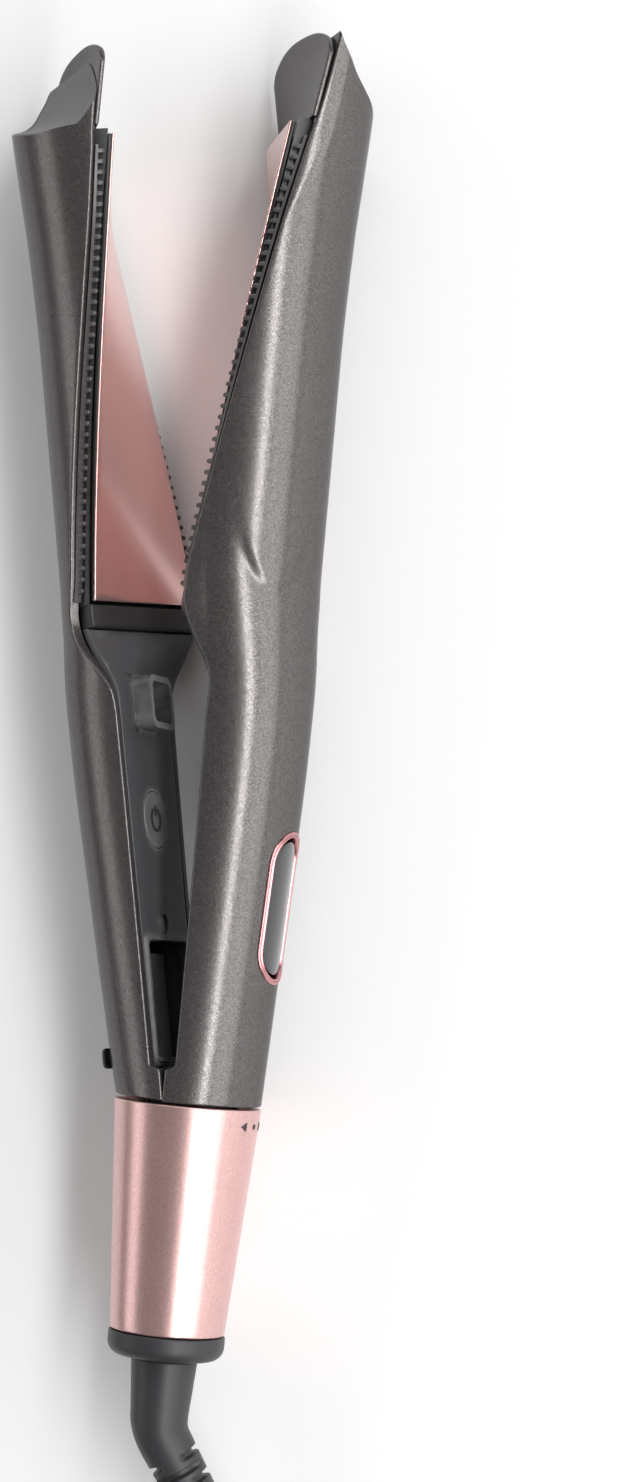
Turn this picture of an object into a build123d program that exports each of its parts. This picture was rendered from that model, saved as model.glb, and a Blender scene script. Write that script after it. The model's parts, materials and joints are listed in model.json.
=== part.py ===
from build123d import *
import math
import os

# Twisted-plate flat iron, lying on its side and open.
# Every piece is built in the closed iron's arm frame: +Y runs along the iron from the hinge to the
# tips, +X points out of the display arm, Z is the hinge axis. "Station" is a distance along +Y from
# the top of the temperature ring. The rear arm's pieces are the front arm's, turned half a turn about
# the long axis and then swung open. All sizes are in millimetres and all angles in degrees.

os.makedirs("parts", exist_ok=True)

# ---- driving dimensions -------------------------------------------------------------------------
ARM_LENGTH = 235.4
BARREL_R = 18.6
WALL = 2.2
OPEN_DEG = 11.2
PIVOT_S = 3.5
FIT = 0.1                     # gap between pieces that are fixed to each other
CLEAR = 0.3                   # gap between pieces that move against each other

# where the iron stands: its middle over the origin, its lowest point on the floor
SHIFT = (19.4, -64.4, 20.01)

# stations along the arm
COLLAR_START, COLLAR_END = 0.4, 7.5
COVER_START, COVER_END = 8.0, 104.0
TWIST_START, TWIST_PEAK = 88.0, 107.5
BAR_START, BAR_END = 104.9, 109.4
PLATE_START, PLATE_END = 110.0, 213.0
TIP_START = 214.0
TWIST_PEAK_DEG = 30.0
TWIST_RATE = -0.583           # degrees per mm beyond the peak

# levels measured from the plane in which the arms meet
PLATE_FACE, PLATE_BACK = 0.15, 1.65
COVER_FACE, COVER_BACK = 2.4, 4.4
NOSE_FACE, LIP_LEVEL = 4.2, 5.4        # nose plate of the tip, which the solid tip starts behind
PLATE_HALF = 14.25
COMB_PITCH, COMB_COUNT = 2.4, 41

# ring, cap and swivel
SLEEVE_LEN, SLEEVE_TOP_R, SLEEVE_END_R = 49.2, 16.0, 12.4
CAP_LEN, CAP_R = 5.4, 12.6
CORE_R = 9.5
SPRING_LEG, PIN_BORE_R = 2.0, 2.06
SHANK_LEN, SHANK_TOP_R, SHANK_END_R = 11.5, 7.2, 6.3
ELBOW_DEG, ELBOW_R, ELBOW_SIDE = 33.0, 12.0, -25.0
RIB_PITCH, RIB_COUNT, RIB_R, RIB_END_R = 2.8, 13, 4.95, 4.3

# cord
CORD_D = 6.0
COIL_TURN_R = (41.0, 35.0, 29.0)
COIL_CENTRE = (-6.0, -200.0)

# plug: height of its middle above the floor, and its pins
PLUG_Z = 7.0
PIN_LEN, PIN_R, PIN_X = 19.0, 2.0, 9.3

# display, power button and screws
DISPLAY_S = 43.5
BEZEL_SIZE, WINDOW_SIZE = (33.3, 15.0), (28.7, 12.1)
BUTTON_S, BUTTON_R = 62.0, 6.25
COVER_SCREW_S = {"front": 76.0, "rear": 39.0}
CARRIER_SCREW_STATIONS = (122.0, 203.0)

# outline of the arm: (station, depth of the outer face, half width)
PROFILE = (
    (0.0, 15.9, 15.6),
    (20.0, 16.9, 15.5),
    (42.0, 18.0, 15.7),
    (81.0, 19.6, 16.4),
    (95.0, 19.7, 17.3),
    (107.5, 19.2, 18.2),
    (116.0, BARREL_R, BARREL_R),
    (165.0, BARREL_R, BARREL_R),
    (190.0, 19.2, 19.0),
    (205.0, 20.1, 19.3),
    (222.0, 21.0, 19.4),
    (ARM_LENGTH, 21.2, 19.4),
)
SHELL_STATIONS = (7.5, 20, 42, 62, 81, 88, 93, 98, 103, 107.5, 112, 116, 125, 138, 150, 165, 180, 190, 205, 214)
TIP_STATIONS = (TIP_START, 221, 228, ARM_LENGTH)
SHELL_HALF_SPAN = 78.0


# ---- section geometry ---------------------------------------------------------------------------
def ease(t):
    """Smooth step from 0 to 1."""
    t = min(max(t, 0.0), 1.0)
    return t * t * (3 - 2 * t)


def twist(s):
    """Angle of the arm's middle about the long axis."""
    if s < TWIST_PEAK:
        return TWIST_PEAK_DEG * ease((s - TWIST_START) / (TWIST_PEAK - TWIST_START))
    return TWIST_PEAK_DEG + TWIST_RATE * (s - TWIST_PEAK)


def outline(s):
    """Offset of the outer arc's centre and its radius at a station."""
    for (s0, d0, w0), (s1, d1, w1) in zip(PROFILE, PROFILE[1:]):
        if s <= s1:
            t = (s - s0) / (s1 - s0)
            depth, half_width = d0 + t * (d1 - d0), w0 + t * (w1 - w0)
            return depth - half_width, half_width
    raise ValueError("station beyond the tip")


def half_span(s, level):
    """Half angle of the shell's arc, so that its edges lie at a level in the handle."""
    offset, radius = outline(s)
    handle = 90 + math.degrees(math.asin((offset - level) / radius))
    t = ease((s - TWIST_START + 4) / (TWIST_PEAK - TWIST_START + 4))
    return handle + t * (SHELL_HALF_SPAN - handle)


def at(s, level, across):
    """Point of the twisted arm: level from the meeting plane, distance across it."""
    m = math.radians(twist(s))
    x = level * math.cos(m) - across * math.sin(m)
    z = level * math.sin(m) + across * math.cos(m)
    return Vector(x, s, z)


def arc_wire(s, level, outer, inner):
    """Closed C-shaped section between two offsets from the arm's outer face."""
    offset, radius = outline(s)
    span = math.radians(half_span(s, level))
    rim = []
    for grow in (outer, inner):
        r = radius + grow
        rim.append([at(s, offset + r * math.cos(a), r * math.sin(a)) for a in (-span, 0, span)])
    (a0, a1, a2), (b0, b1, b2) = rim
    edges = [ThreePointArc(a0, a1, a2), Line(a2, b2), ThreePointArc(b2, b1, b0), Line(b0, a0)]
    return Wire([edge.edge() for edge in edges])


def polygon_wire(s, corners):
    """Closed polygon of (level, across) corners at a station."""
    points = [at(s, level, across) for level, across in corners]
    return Wire([Line(p, q).edge() for p, q in zip(points, points[1:] + points[:1])])


def rounded_wire(s, flat):
    """Part of the arm's round section beyond a flat at a level, for the solid tip."""
    offset, radius = outline(s)
    reach = math.sqrt(radius ** 2 - (flat - offset) ** 2)
    a, b, c = at(s, flat, -reach), at(s, offset + radius, 0), at(s, flat, reach)
    return Wire([ThreePointArc(a, b, c).edge(), Line(c, a).edge()])


def stations(start, end, step=13.0):
    """Evenly spaced stations that include both ends."""
    count = max(1, math.ceil((end - start) / step))
    return [start + (end - start) * i / count for i in range(count + 1)]


def strip(start, end, low, high, left, right):
    """Twisted bar with a rectangular section."""
    corners = ((low, left), (high, left), (high, right), (low, right))
    return Solid.make_loft([polygon_wire(s, corners) for s in stations(start, end)], ruled=True)


def block(x, y, z):
    """Box from three (low, high) pairs."""
    size = [high - low for low, high in (x, y, z)]
    middle = [(high + low) / 2 for low, high in (x, y, z)]
    return Pos(*middle) * Box(*size)


def rod(start, end, radius):
    """Round bar between two points."""
    start, end = Vector(*start), Vector(*end)
    plane = Plane(origin=start, z_dir=end - start)
    return Solid.make_cylinder(radius, (end - start).length, plane)


def local_block(s, level, across, length, height, width):
    """Box on the twisted arm, centred at a station."""
    box = Pos(level + height / 2, 0, across) * Box(height, length, width)
    return Pos(0, s, 0) * Rot(0, -twist(s), 0) * box


def local_rod(s, low, high, across, radius):
    """Round bar square to the meeting plane at a station."""
    return rod(at(s, low, across), at(s, high, across), radius)


# ---- arm pieces, written for the front arm ------------------------------------------------------
def scoop():
    """Concave cutter that shapes the slanted facet of the tip."""
    side = math.radians(-40.0)
    out = Vector(math.cos(side), 0, math.sin(side))
    along = Vector(-math.sin(side), 0, math.cos(side))
    hollow = (
        (4.9, 236.0),
        (5.7, 231.0),
        (6.8, 227.0),
        (8.4, 223.8),
        (12.2, 218.9),
        (16.0, 217.2),
        (23.0, 216.4),
    )
    points = [out * d + Vector(0, s, 0) for d, s in hollow]
    top = [out * 30 + Vector(0, 216.4, 0), out * 30 + Vector(0, 270, 0), Vector(0, 270, 0)]
    curve = Spline(*points)
    sides = [points[-1], *top, points[0]]
    lines = [Line(p, q).edge() for p, q in zip(sides, sides[1:])]
    face = Face(Wire([curve.edge(), *lines]))
    return extrude(face, amount=32, dir=along + Vector(0, 0.34, 0), both=True)


def arm_shell():
    """Half shell: collar, handle, twisted barrel and solid scooped tip."""
    body = Solid.make_loft([arc_wire(s, COVER_FACE, 0, -WALL) for s in SHELL_STATIONS], ruled=True)
    collar_rings = (COLLAR_START, COLLAR_END)
    collar = Solid.make_loft([arc_wire(s, PLATE_FACE, 0, -WALL) for s in collar_rings], ruled=True)
    tip_wires = [rounded_wire(s, LIP_LEVEL + FIT) for s in TIP_STATIONS]
    tip = Solid.make_loft(tip_wires, ruled=True)
    return body + collar + (tip - scoop())


def arm_nose():
    """Tongue-shaped inner face of the tip."""
    offset, radius = outline(TIP_START)
    half = math.sqrt((radius - FIT) ** 2 - (LIP_LEVEL - offset) ** 2)
    corners = ((NOSE_FACE, -half), (LIP_LEVEL, -half), (LIP_LEVEL, half), (NOSE_FACE, half))
    tongue = Solid.make_loft([polygon_wire(s, corners) for s in TIP_STATIONS], ruled=True)
    middle = twist(228)
    dome = Plane(origin=(0, 0, 0), x_dir=(0, 1, 0), z_dir=(1, 0, 0))
    face = dome * (Pos(200, 0) * RectangleRounded(2 * (ARM_LENGTH - 200), 2 * half + 1, 13))
    return tongue & (Rot(0, -middle, 0) * extrude(face, amount=30, both=True))


def arm_cover():
    """Flat inner cover of the handle half, with a window and lip for the hinge."""
    sections = []
    for s in (COVER_START, 25, 42, 62, 81, 88, 93, 98, COVER_END):
        offset, radius = outline(s)
        half = math.sqrt((radius - WALL) ** 2 - (COVER_BACK - offset) ** 2) - 2 * FIT
        corners = ((COVER_FACE, -half), (COVER_BACK, -half), (COVER_BACK, half), (COVER_FACE, half))
        sections.append(polygon_wire(s, corners))
    cover = Solid.make_loft(sections, ruled=True)
    cover += block((COVER_FACE - 0.8, COVER_BACK - 0.5), (9.0, 36.4), (-12.4, 12.4))
    return cover - block((0, 6), (10.0, 35.4), (-11.4, 11.4))


def arm_carrier():
    """Black frame behind the plate, with the raised cross bar at its foot."""
    outer = ((1.8, -15.6), (4.6, -15.4), (7.8, -14.0), (7.8, 14.0), (4.6, 15.4), (1.8, 15.6))
    inner = ((1.8, 14.45), (4.6, 14.45), (6.6, 13.4), (6.6, -13.4), (4.6, -14.45), (1.8, -14.45))
    frame = [polygon_wire(s, outer + inner) for s in stations(BAR_END - 0.2, 213.6)]
    trough = Solid.make_loft(frame, ruled=True)
    bar = strip(BAR_START, BAR_END, 0.6, 5.0, -15.1, 15.1)
    holes = [local_rod(s, 6, 9, 0, 1.1) for s in CARRIER_SCREW_STATIONS]
    return trough + bar - holes


def comb_back(s):
    """Level of the back of the comb row, just inside the shell's edge."""
    offset, radius = outline(s)
    return offset + (radius - WALL) * math.cos(math.radians(SHELL_HALF_SPAN)) - 2 * FIT


def arm_comb(side, phase):
    """Comb row: a base strip and short teeth that stand up beside the plate."""
    low, high = sorted((side * 15.7, side * 17.2))
    sections = []
    for s in stations(PLATE_START, 209.5):
        back = comb_back(s)
        sections.append(polygon_wire(s, ((back - 0.6, low), (back, low), (back, high), (back - 0.6, high))))
    base = Solid.make_loft(sections, ruled=True)
    teeth = []
    for i in range(COMB_COUNT):
        s = PLATE_START + 1.0 + (i + phase) * COMB_PITCH
        teeth.append(local_block(s, comb_back(s) - 2.1, side * 16.45, 1.0, 1.9, 1.2))
    return base + teeth


def arm_heating():
    """Plate and the stack behind it."""
    return {
        "plate": strip(PLATE_START, PLATE_END, PLATE_FACE, PLATE_BACK, -PLATE_HALF, PLATE_HALF),
        "heater": strip(118, 205, 1.75, 3.75, -5, 5),
        "heater_clamp": strip(116, 207, 3.85, 4.65, -6.5, 6.5),
        "insulation": strip(114, 210, 4.75, 5.25, -11, 11),
        "thermistor": local_block(152, 2.0, 9.0, 5.0, 1.8, 2.4),
        "fuse": rod(at(140, 2.9, -8.5), at(151, 2.9, -9.0), 1.1),
    }


def arm_screws(cover_station):
    """Cover screw and carrier screws of one arm."""
    head = rod((2.9, cover_station, 0), (4.5, cover_station, 0), 2.1)
    shank = rod((4.5, cover_station, 0), (10.0, cover_station, 0), 1.2)
    screws = [head + shank]
    for s in CARRIER_SCREW_STATIONS:
        screws.append(local_rod(s, 5.4, 6.5, 0, 1.9) + local_rod(s, 6.5, 13.0, 0, 1.0))
    return screws


def shell_bosses(cover_station):
    """Posts inside the shell that the screws bite into."""
    offset, radius = outline(cover_station)
    post = rod((4.5, cover_station, 0), (offset + radius - 1.0, cover_station, 0), 2.7)
    post -= rod((4.4, cover_station, 0), (10.5, cover_station, 0), 1.25)
    posts = [post]
    for s in CARRIER_SCREW_STATIONS:
        posts.append(local_rod(s, 7.9, 17.4, 0, 2.4) - local_rod(s, 7.8, 13.3, 0, 1.05))
    return posts


def screw_hole(cover_station):
    """Counterbore for the cover screw."""
    return rod((0, cover_station, 0), (6, cover_station, 0), 2.25)


def lead_runs(start):
    """Two leads from the handle's electronics to the heater."""
    return [((9.2, start, side), at(115, 9.4, side)) for side in (-4.2, -6.2)]


def wires(pairs, radius=0.7):
    """Group of insulated leads, each a straight run."""
    return [rod(a, b, radius) for a, b in pairs]


# ---- display arm --------------------------------------------------------------------------------
def stadium(size, reach=30):
    """Prism with round ends that passes out through the front of the arm."""
    plane = Plane(origin=(5, DISPLAY_S, 0), x_dir=(0, 1, 0), z_dir=(1, 0, 0))
    return extrude(plane * SlotOverall(size[0], size[1]), amount=reach)


def skin(outer, inner):
    """Layer that follows the outer face of the handle."""
    return Solid.make_loft([arc_wire(s, 8.0, outer, inner) for s in (22, 42, 62, 68)], ruled=True)


def display_parts():
    """Trim, window, module and circuit board of the display."""
    opening = stadium((WINDOW_SIZE[0] + 0.2, WINDOW_SIZE[1] + 0.2))
    ring = stadium(BEZEL_SIZE) - opening
    chips = [
        block((4.5, 5.8), (50, 56), (-4, 2)),
        block((4.5, 5.8), (60, 68), (-8, -3)),
        block((4.5, 5.8), (61, 70), (2, 8)),
    ]
    chips.append(rod((4.6 + 2.6, 78, 5), (4.6 + 2.6, 84, 5), 2.2))
    return {
        "display_bezel": skin(0.45, -1.8) & ring,
        "display_window": skin(-0.35, -1.5) & stadium(WINDOW_SIZE),
        "display_module": block((10.4, 13.6), (31, 56), (-5.4, 5.4)),
        "control_board": block((5.9, 7.3), (46, 72.5), (-10, 10)),
        "board_components": chips,
    }


# ---- rear arm extras ----------------------------------------------------------------------------
def tower():
    """Hollow locating tower on the rear cover."""
    body = block((-1.7, COVER_BACK - 0.4), (81.6, 93.4), (-6.2, 6.2))
    return body - block((-2.0, 3.4), (83.1, 91.9), (-4.7, 4.7))


def peg():
    """Locating peg on the front cover that enters the tower."""
    return block((-1.6, COVER_BACK - 0.4), (84.2, 90.6), (-3.4, 3.4))


def power_button():
    """Round push button with a keeper flange behind the cover."""
    cap = rod((2.3, BUTTON_S, 0), (4.7, BUTTON_S, 0), BUTTON_R)
    return cap + rod((4.7, BUTTON_S, 0), (5.5, BUTTON_S, 0), BUTTON_R + 1)


def power_symbol():
    """Raised on-off sign: an open ring and a bar."""
    plane = Plane(origin=(2.28, BUTTON_S, 0), x_dir=(0, 1, 0), z_dir=(-1, 0, 0))
    ring = Circle(2.7) - Circle(2.1) - Pos(2.4, 0) * Rectangle(2.4, 2.2)
    bar = Pos(2.0, 0) * Rectangle(2.4, 0.6)
    return extrude(plane * ring, amount=0.2) + extrude(plane * bar, amount=0.2)


def lock_slider():
    """Closing lock: outer nub, stem through the slot and inner plate."""
    nub = block((17.1, 18.0), (9.0, 13.4), (-5, 5))
    nub = fillet(nub.edges().group_by(Axis.X)[-1], 0.4)
    stem = block((12.9, 17.2), (10.0, 12.4), (-3, 3))
    return nub + stem + block((12.1, 12.9), (8.6, 13.8), (-4.5, 4.5))


def rear_hinge_arm():
    """Knuckle on the hinge pin and the bar that carries the rear arm, in the front arm's frame."""
    knuckle = rod((0, PIVOT_S, -2.0), (0, PIVOT_S, 6.6), 4.6)
    bar = block((6.0, 9.0), (1.0, 33.0), (-2.0, 6.5))
    web = block((0, 9.0), (1.0, 7.0), (-2.0, 6.5))
    return knuckle + bar + web - rod((0, PIVOT_S, -12), (0, PIVOT_S, 12), PIN_BORE_R)


# ---- handle core --------------------------------------------------------------------------------
def ring(inner, outer, low, high):
    """Round band about the long axis."""
    band = rod((0, low, 0), (0, high, 0), outer)
    return band - rod((0, low - 1, 0), (0, high + 1, 0), inner)


def hinge_block():
    """Disc that closes the core, two ears for the pin and a tongue to the front arm."""
    body = ring(3.0, 13.0, -5.0, -2.2)
    for side in (-1, 1):
        low, high = sorted((side * 7.2, side * 10.2))
        body += block((-4.5, 4.5), (-2.3, PIVOT_S), (low, high))
        body += rod((0, PIVOT_S, low), (0, PIVOT_S, high), 4.5)
        body += block((0, 7.6), (-2.3, 5.0), (low, high))
    body += block((5.2, 7.6), (-2.3, 32.0), (-10.2, 10.2))
    return body - rod((0, PIVOT_S, -12), (0, PIVOT_S, 12), PIN_BORE_R)


def hinge_washers():
    """Thin washers between the knuckle, the spring and the ears."""
    levels = ((-7.15, -6.65), (6.65, 7.15))
    washers = []
    for low, high in levels:
        ends = (0, PIVOT_S, low), (0, PIVOT_S, high)
        washers.append(rod(*ends, 4.2) - rod(*ends, PIN_BORE_R))
    return washers


def torsion_spring():
    """Coil on the hinge pin with two short legs."""
    coil = Helix(0.95, 3.2, 2.9, center=(0, 0, 2.9))
    wire = sweep(Plane(coil @ 0, z_dir=coil % 0) * Circle(0.35), path=coil)
    start, end = coil @ 0, coil @ 1
    legs = [rod(p, p + Vector(0, SPRING_LEG, 0), 0.35) for p in (start, end)]
    return Pos(0, PIVOT_S, 0) * (wire + legs)


def sleeve_radius(s):
    """Outer radius of the tapered temperature ring."""
    return SLEEVE_TOP_R + (SLEEVE_END_R - SLEEVE_TOP_R) * s / SLEEVE_LEN


def turned(profile):
    """Solid of revolution about the long axis from (radius, station) corners."""
    points = [Vector(r, s, 0) for r, s in profile]
    face = Face(Wire([Line(p, q).edge() for p, q in zip(points, points[1:] + points[:1])]))
    return revolve(face, Axis.Y, 360)


def dial_sleeve():
    """Tapered temperature ring with running collars at both ends."""
    top, end = -FIT, -SLEEVE_LEN + FIT
    wall = 2.0
    profile = (
        (sleeve_radius(-top), top),
        (sleeve_radius(-end), end),
        (CORE_R + 0.08, end),
        (CORE_R + 0.08, end + 3),
        (sleeve_radius(-end - 3) - wall, end + 3),
        (sleeve_radius(5.2) - wall, -5.2),
        (13.08, -5.2),
        (13.08, -2.0),
        (sleeve_radius(2) - wall, -2.0),
        (sleeve_radius(-top) - wall, top),
    )
    return turned(profile)


def dial_spring():
    """Wire coil about the core that returns the temperature ring."""
    coil = Helix(1.6, 5.6, CORE_R + 0.9, center=(0, -20, 0), direction=(0, 1, 0))
    return sweep(Plane(coil @ 0, z_dir=coil % 0) * Circle(0.4), path=coil)


def sleeve_marks():
    """Two arrowheads and a dot, a hair above the ring's surface."""
    y, depth = -3.7, 0.12
    radius = sleeve_radius(-y)
    prisms = []
    for side in (-1, 1):
        angle = side * 12.8
        mark = Pos(radius, 0, 0) * Rot(0, 90, 0) * extrude(
            Polygon((0, 1.0), (0, -1.0), (1.8, 0), align=None), amount=3, both=True
        )
        prisms.append(Pos(0, y, 0) * Rot(0, -angle, 0) * (Rot(90 * (1 + side), 0, 0) * mark))
    prisms.append(Pos(0, y, 0) * rod((radius - 3, 0, 0), (radius + 3, 0, 0), 0.6))
    low, high = y - 3, y + 3
    band = turned((
        (sleeve_radius(-low) + 0.02, low),
        (sleeve_radius(-low) + depth, low),
        (sleeve_radius(-high) + depth, high),
        (sleeve_radius(-high) + 0.02, high),
    ))
    return [band & prism for prism in prisms]


def end_cap():
    """Black cap that closes the core and holds the swivel."""
    top, bottom = -SLEEVE_LEN - 0.15, -SLEEVE_LEN - CAP_LEN
    profile = (
        (8.4, top),
        (CAP_R - 0.3, top),
        (CAP_R, top - 0.6),
        (CAP_R, top - 2.6),
        (CAP_R - 0.7, bottom + 1.2),
        (CAP_R - 2.2, bottom),
        (6.3, bottom),
        (6.3, bottom + 2.0),
        (8.4, bottom + 2.0),
    )
    return turned(profile)


def elbow_frame():
    """Start point, bend direction and end direction of the strain relief's elbow."""
    side = math.radians(ELBOW_SIDE)
    outward = Vector(math.cos(side), 0, math.sin(side))
    start = Vector(0, -SLEEVE_LEN - CAP_LEN - CLEAR - SHANK_LEN, 0)
    bend = math.radians(ELBOW_DEG)
    heading = outward * math.sin(bend) + Vector(0, -math.cos(bend), 0)
    centre = start + outward * ELBOW_R
    end = centre - outward * ELBOW_R * math.cos(bend) - Vector(0, ELBOW_R * math.sin(bend), 0)
    return start, end, heading


def relief_tip():
    """Point where the cord leaves the strain relief, and its direction."""
    _, end, heading = elbow_frame()
    return end + heading * (RIB_PITCH * RIB_COUNT + 1.5), heading


def strain_relief():
    """Swivel barrel, smooth neck, elbow and tapered ribbed sleeve."""
    start, end, heading = elbow_frame()
    bottom = -SLEEVE_LEN - CAP_LEN
    body = rod((0, bottom - CLEAR, 0), (0, bottom + 2.3, 0), 6.2)
    body += rod((0, bottom + 2.3, 0), (0, bottom + 4.0, 0), 8.0)
    top = bottom - CLEAR
    body += turned(((0, top), (SHANK_TOP_R, top), (SHANK_END_R, start.Y), (0, start.Y)))
    arc = TangentArc(start, end, tangent=(0, -1, 0))
    body += sweep(Plane(start, z_dir=(0, -1, 0)) * Circle(5.8), path=arc)
    core = Solid.make_cone(5.4, 3.6, RIB_PITCH * RIB_COUNT + 1.5, Plane(end, z_dir=heading))
    body += core
    ribs = []
    for i in range(RIB_COUNT):
        radius = RIB_R + (RIB_END_R - RIB_R) * i / (RIB_COUNT - 1)
        foot = end + heading * (1.0 + i * RIB_PITCH)
        ribs.append(rod(foot, foot + heading * 1.7, radius + 0.5 * (i < 1)))
    return body + ribs


# ---- cord ---------------------------------------------------------------------------------------
def cord_route():
    """Points of the stretch from the strain relief to the coil."""
    tip, heading = relief_tip()
    floor = CORD_D / 2 - SHIFT[2]
    entry_x = COIL_CENTRE[0] + COIL_TURN_R[0]
    first = tip + heading * 0.1
    return [
        first,
        first + heading * 17.0,
        Vector(32.6, -140.0, floor + 0.3),
        Vector(entry_x + 0.2, -160.5, floor),
        Vector(entry_x + 0.3, COIL_CENTRE[1] + 19.5, floor),
        Vector(entry_x, COIL_CENTRE[1], floor),
    ]


def tail_route():
    """Points of the stretch from the coil's upper layer down to the plug."""
    exit_x = COIL_CENTRE[0] + COIL_TURN_R[0]
    start_y, floor = COIL_CENTRE[1], -SHIFT[2]
    return [
        Vector(exit_x, start_y, floor + 2.5 * CORD_D),
        Vector(exit_x, start_y - 15.0, floor + 14.0),
        Vector(exit_x - 2.6, start_y - 31.0, floor + PLUG_Z),
        Vector(exit_x - 2.6, start_y - 46.0, floor + PLUG_Z),
    ]


def cord_tube(name, points):
    """Round tube along straight runs joined by tangent arcs."""
    radii = []
    for before, corner, after in zip(points, points[1:], points[2:]):
        turn = math.radians((corner - before).get_angle(after - corner))
        run = min((corner - before).length, (after - corner).length)
        radii.append(0.45 * run / math.tan(turn / 2))
    path = FilletPolyline(*points, radius=radii)
    tube = sweep(Plane(path @ 0, z_dir=path % 0) * Circle(CORD_D / 2), path=path)
    section = math.pi * CORD_D ** 2 / 4
    ratio = tube.volume / section / path.length
    print(name, "length", round(path.length, 1), "volume ratio", round(ratio, 4))
    print(name, "radii", [round(r, 1) for r in radii])
    return tube


def cord_coil():
    """Outer shape of the wound cord: a ring three cords wide and three high."""
    outer, inner = COIL_TURN_R[0] + CORD_D / 2, COIL_TURN_R[-1] - CORD_D / 2
    base = Plane(origin=(COIL_CENTRE[0], COIL_CENTRE[1], -SHIFT[2]))
    wound = Solid.make_cylinder(outer, 3 * CORD_D, base) - Solid.make_cylinder(inner, 3 * CORD_D, base)
    return fillet(wound.edges().filter_by(GeomType.CIRCLE), 2.0)


def plug_parts():
    """Flat two-pin plug lying beyond the coil, pins away from the iron."""
    back = tail_route()[-1]
    x, y, z = back.X, back.Y, back.Z
    boot = Solid.make_cone(4.4, 5.4, 12.0, Plane((x, y - 0.1, z), z_dir=(0, -1, 0)))
    grip = block((x - 12, x + 12), (y - 24, y - 10), (z - 6.5, z + 6.5))
    grip = fillet(grip.edges().filter_by(Axis.Z), 3.0)
    face = block((x - 17.6, x + 17.6), (y - 36, y - 22), (z - 6.8, z + 6.8))
    body = grip + fillet(face.edges().filter_by(Axis.Z), 3.0)
    foot, reach = y - 36.1, PIN_LEN
    pins = [rod((px, foot, z), (px, foot - reach, z), PIN_R) for px in (x - PIN_X, x + PIN_X)]
    return {"plug_body": body + boot, "plug_pins": pins}


# ---- assembly -----------------------------------------------------------------------------------
def arm(prefix, phase):
    """Pieces that both arms share; the phase shifts the comb teeth by a part of their pitch."""
    cover_station = COVER_SCREW_S[prefix]
    cover = arm_cover() - screw_hole(cover_station)
    cover = cover + peg() if prefix == "front" else cover + tower()
    shell = arm_shell() + shell_bosses(cover_station)
    parts = {
        "shell": shell,
        "nose": arm_nose(),
        "inner_cover": cover,
        "plate_carrier": arm_carrier(),
        "comb_upper": arm_comb(1, phase),
        "comb_lower": arm_comb(-1, phase),
        "screws": arm_screws(cover_station),
        **arm_heating(),
    }
    return {f"{prefix}_{name}": shape for name, shape in parts.items()}


def front_parts():
    """Display arm, fixed to the handle core."""
    parts = arm("front", 0.0)
    parts["front_shell"] -= stadium((BEZEL_SIZE[0] + 0.2, BEZEL_SIZE[1] + 0.2))
    parts.update(display_parts())
    parts["front_wires"] = wires(lead_runs(73.5))
    return parts


def rear_parts():
    """Swinging arm, still in the front arm's place; also its button and lock."""
    parts = arm("rear", 0.5)
    hole = rod((0, BUTTON_S, 0), (6, BUTTON_S, 0), BUTTON_R + 0.2)
    parts["rear_inner_cover"] -= hole
    slot = block((10, 22), (9.7, 17.2), (-3.3, 3.3))
    parts["rear_shell"] -= slot
    parts["rear_hinge_arm"] = rear_hinge_arm()
    parts["switch_board"] = block((9.9, 11.3), (50, 74), (-8.5, 8.5))
    tact = block((7.0, 9.8), (59, 65), (-3, 3)) + rod((6.3, BUTTON_S, 0), (7.1, BUTTON_S, 0), 1.75)
    parts["tact_switch"] = tact
    parts["rear_wires"] = wires(lead_runs(75.0))
    parts["power_button"] = power_button()
    parts["power_symbol"] = power_symbol()
    parts["lock_slider"] = lock_slider()
    return parts


def handle_parts():
    """Core, hinge, temperature ring, cap, swivel and cord."""
    return {
        "hinge_block": hinge_block(),
        "hinge_pin": rod((0, PIVOT_S, -11.6), (0, PIVOT_S, 11.6), 2.0),
        "hinge_washers": hinge_washers(),
        "torsion_spring": torsion_spring(),
        "core_tube": ring(7.5, CORE_R, -SLEEVE_LEN - 0.1, -5.1),
        "dial_sleeve": dial_sleeve(),
        "sleeve_marks": sleeve_marks(),
        "dial_cam": ring(CORE_R + 0.3, 12.95, -12.6, -9.8),
        "dial_sensor": ring(CORE_R + 0.05, 12.0, -9.0, -6.2),
        "dial_spring": dial_spring(),
        "end_cap": end_cap(),
        "swivel_contacts": [ring(2.2, 5.2, -50.0, -48.6), ring(2.2, 5.2, -47.6, -46.2)],
        "contact_block": ring(1.5, 7.4, -44.6, -38.0),
        "lead_wires": wires([((side * 4, -37.8, 0), (side * 4, -5.6, 0)) for side in (-1, 1)]),
        "strain_relief": strain_relief(),
        "cord_tube": cord_tube("cord_tube", cord_route()),
        "cord_coil": cord_coil(),
        "cord_tail": cord_tube("cord_tail", tail_route()),
        **plug_parts(),
    }


def main():
    """Place every piece and write one file for each."""
    swing = Pos(0, PIVOT_S, 0) * Rot(0, 0, OPEN_DEG) * Pos(0, -PIVOT_S, 0) * Rot(0, 180, 0)
    beside_front = block((-CLEAR / 2, 20), (-2, PIVOT_S), (-20, 20))
    below_collar = block((-25, 25), (-10, COLLAR_START), (-20, 20))
    nodes = dict(front_parts())
    for name, shape in rear_parts().items():
        nodes[name] = [swing * item for item in shape] if isinstance(shape, list) else swing * shape
    nodes["rear_shell"] -= beside_front + below_collar
    nodes.update(handle_parts())
    stand = Pos(*SHIFT)
    for name, shape in nodes.items():
        solids = []
        for item in shape if isinstance(shape, list) else [shape]:
            solids.extend((stand * item).solids())
        export_step(Compound(children=solids) if len(solids) > 1 else solids[0], f"parts/{name}.step")
    print(len(nodes), "nodes")


main()
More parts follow.
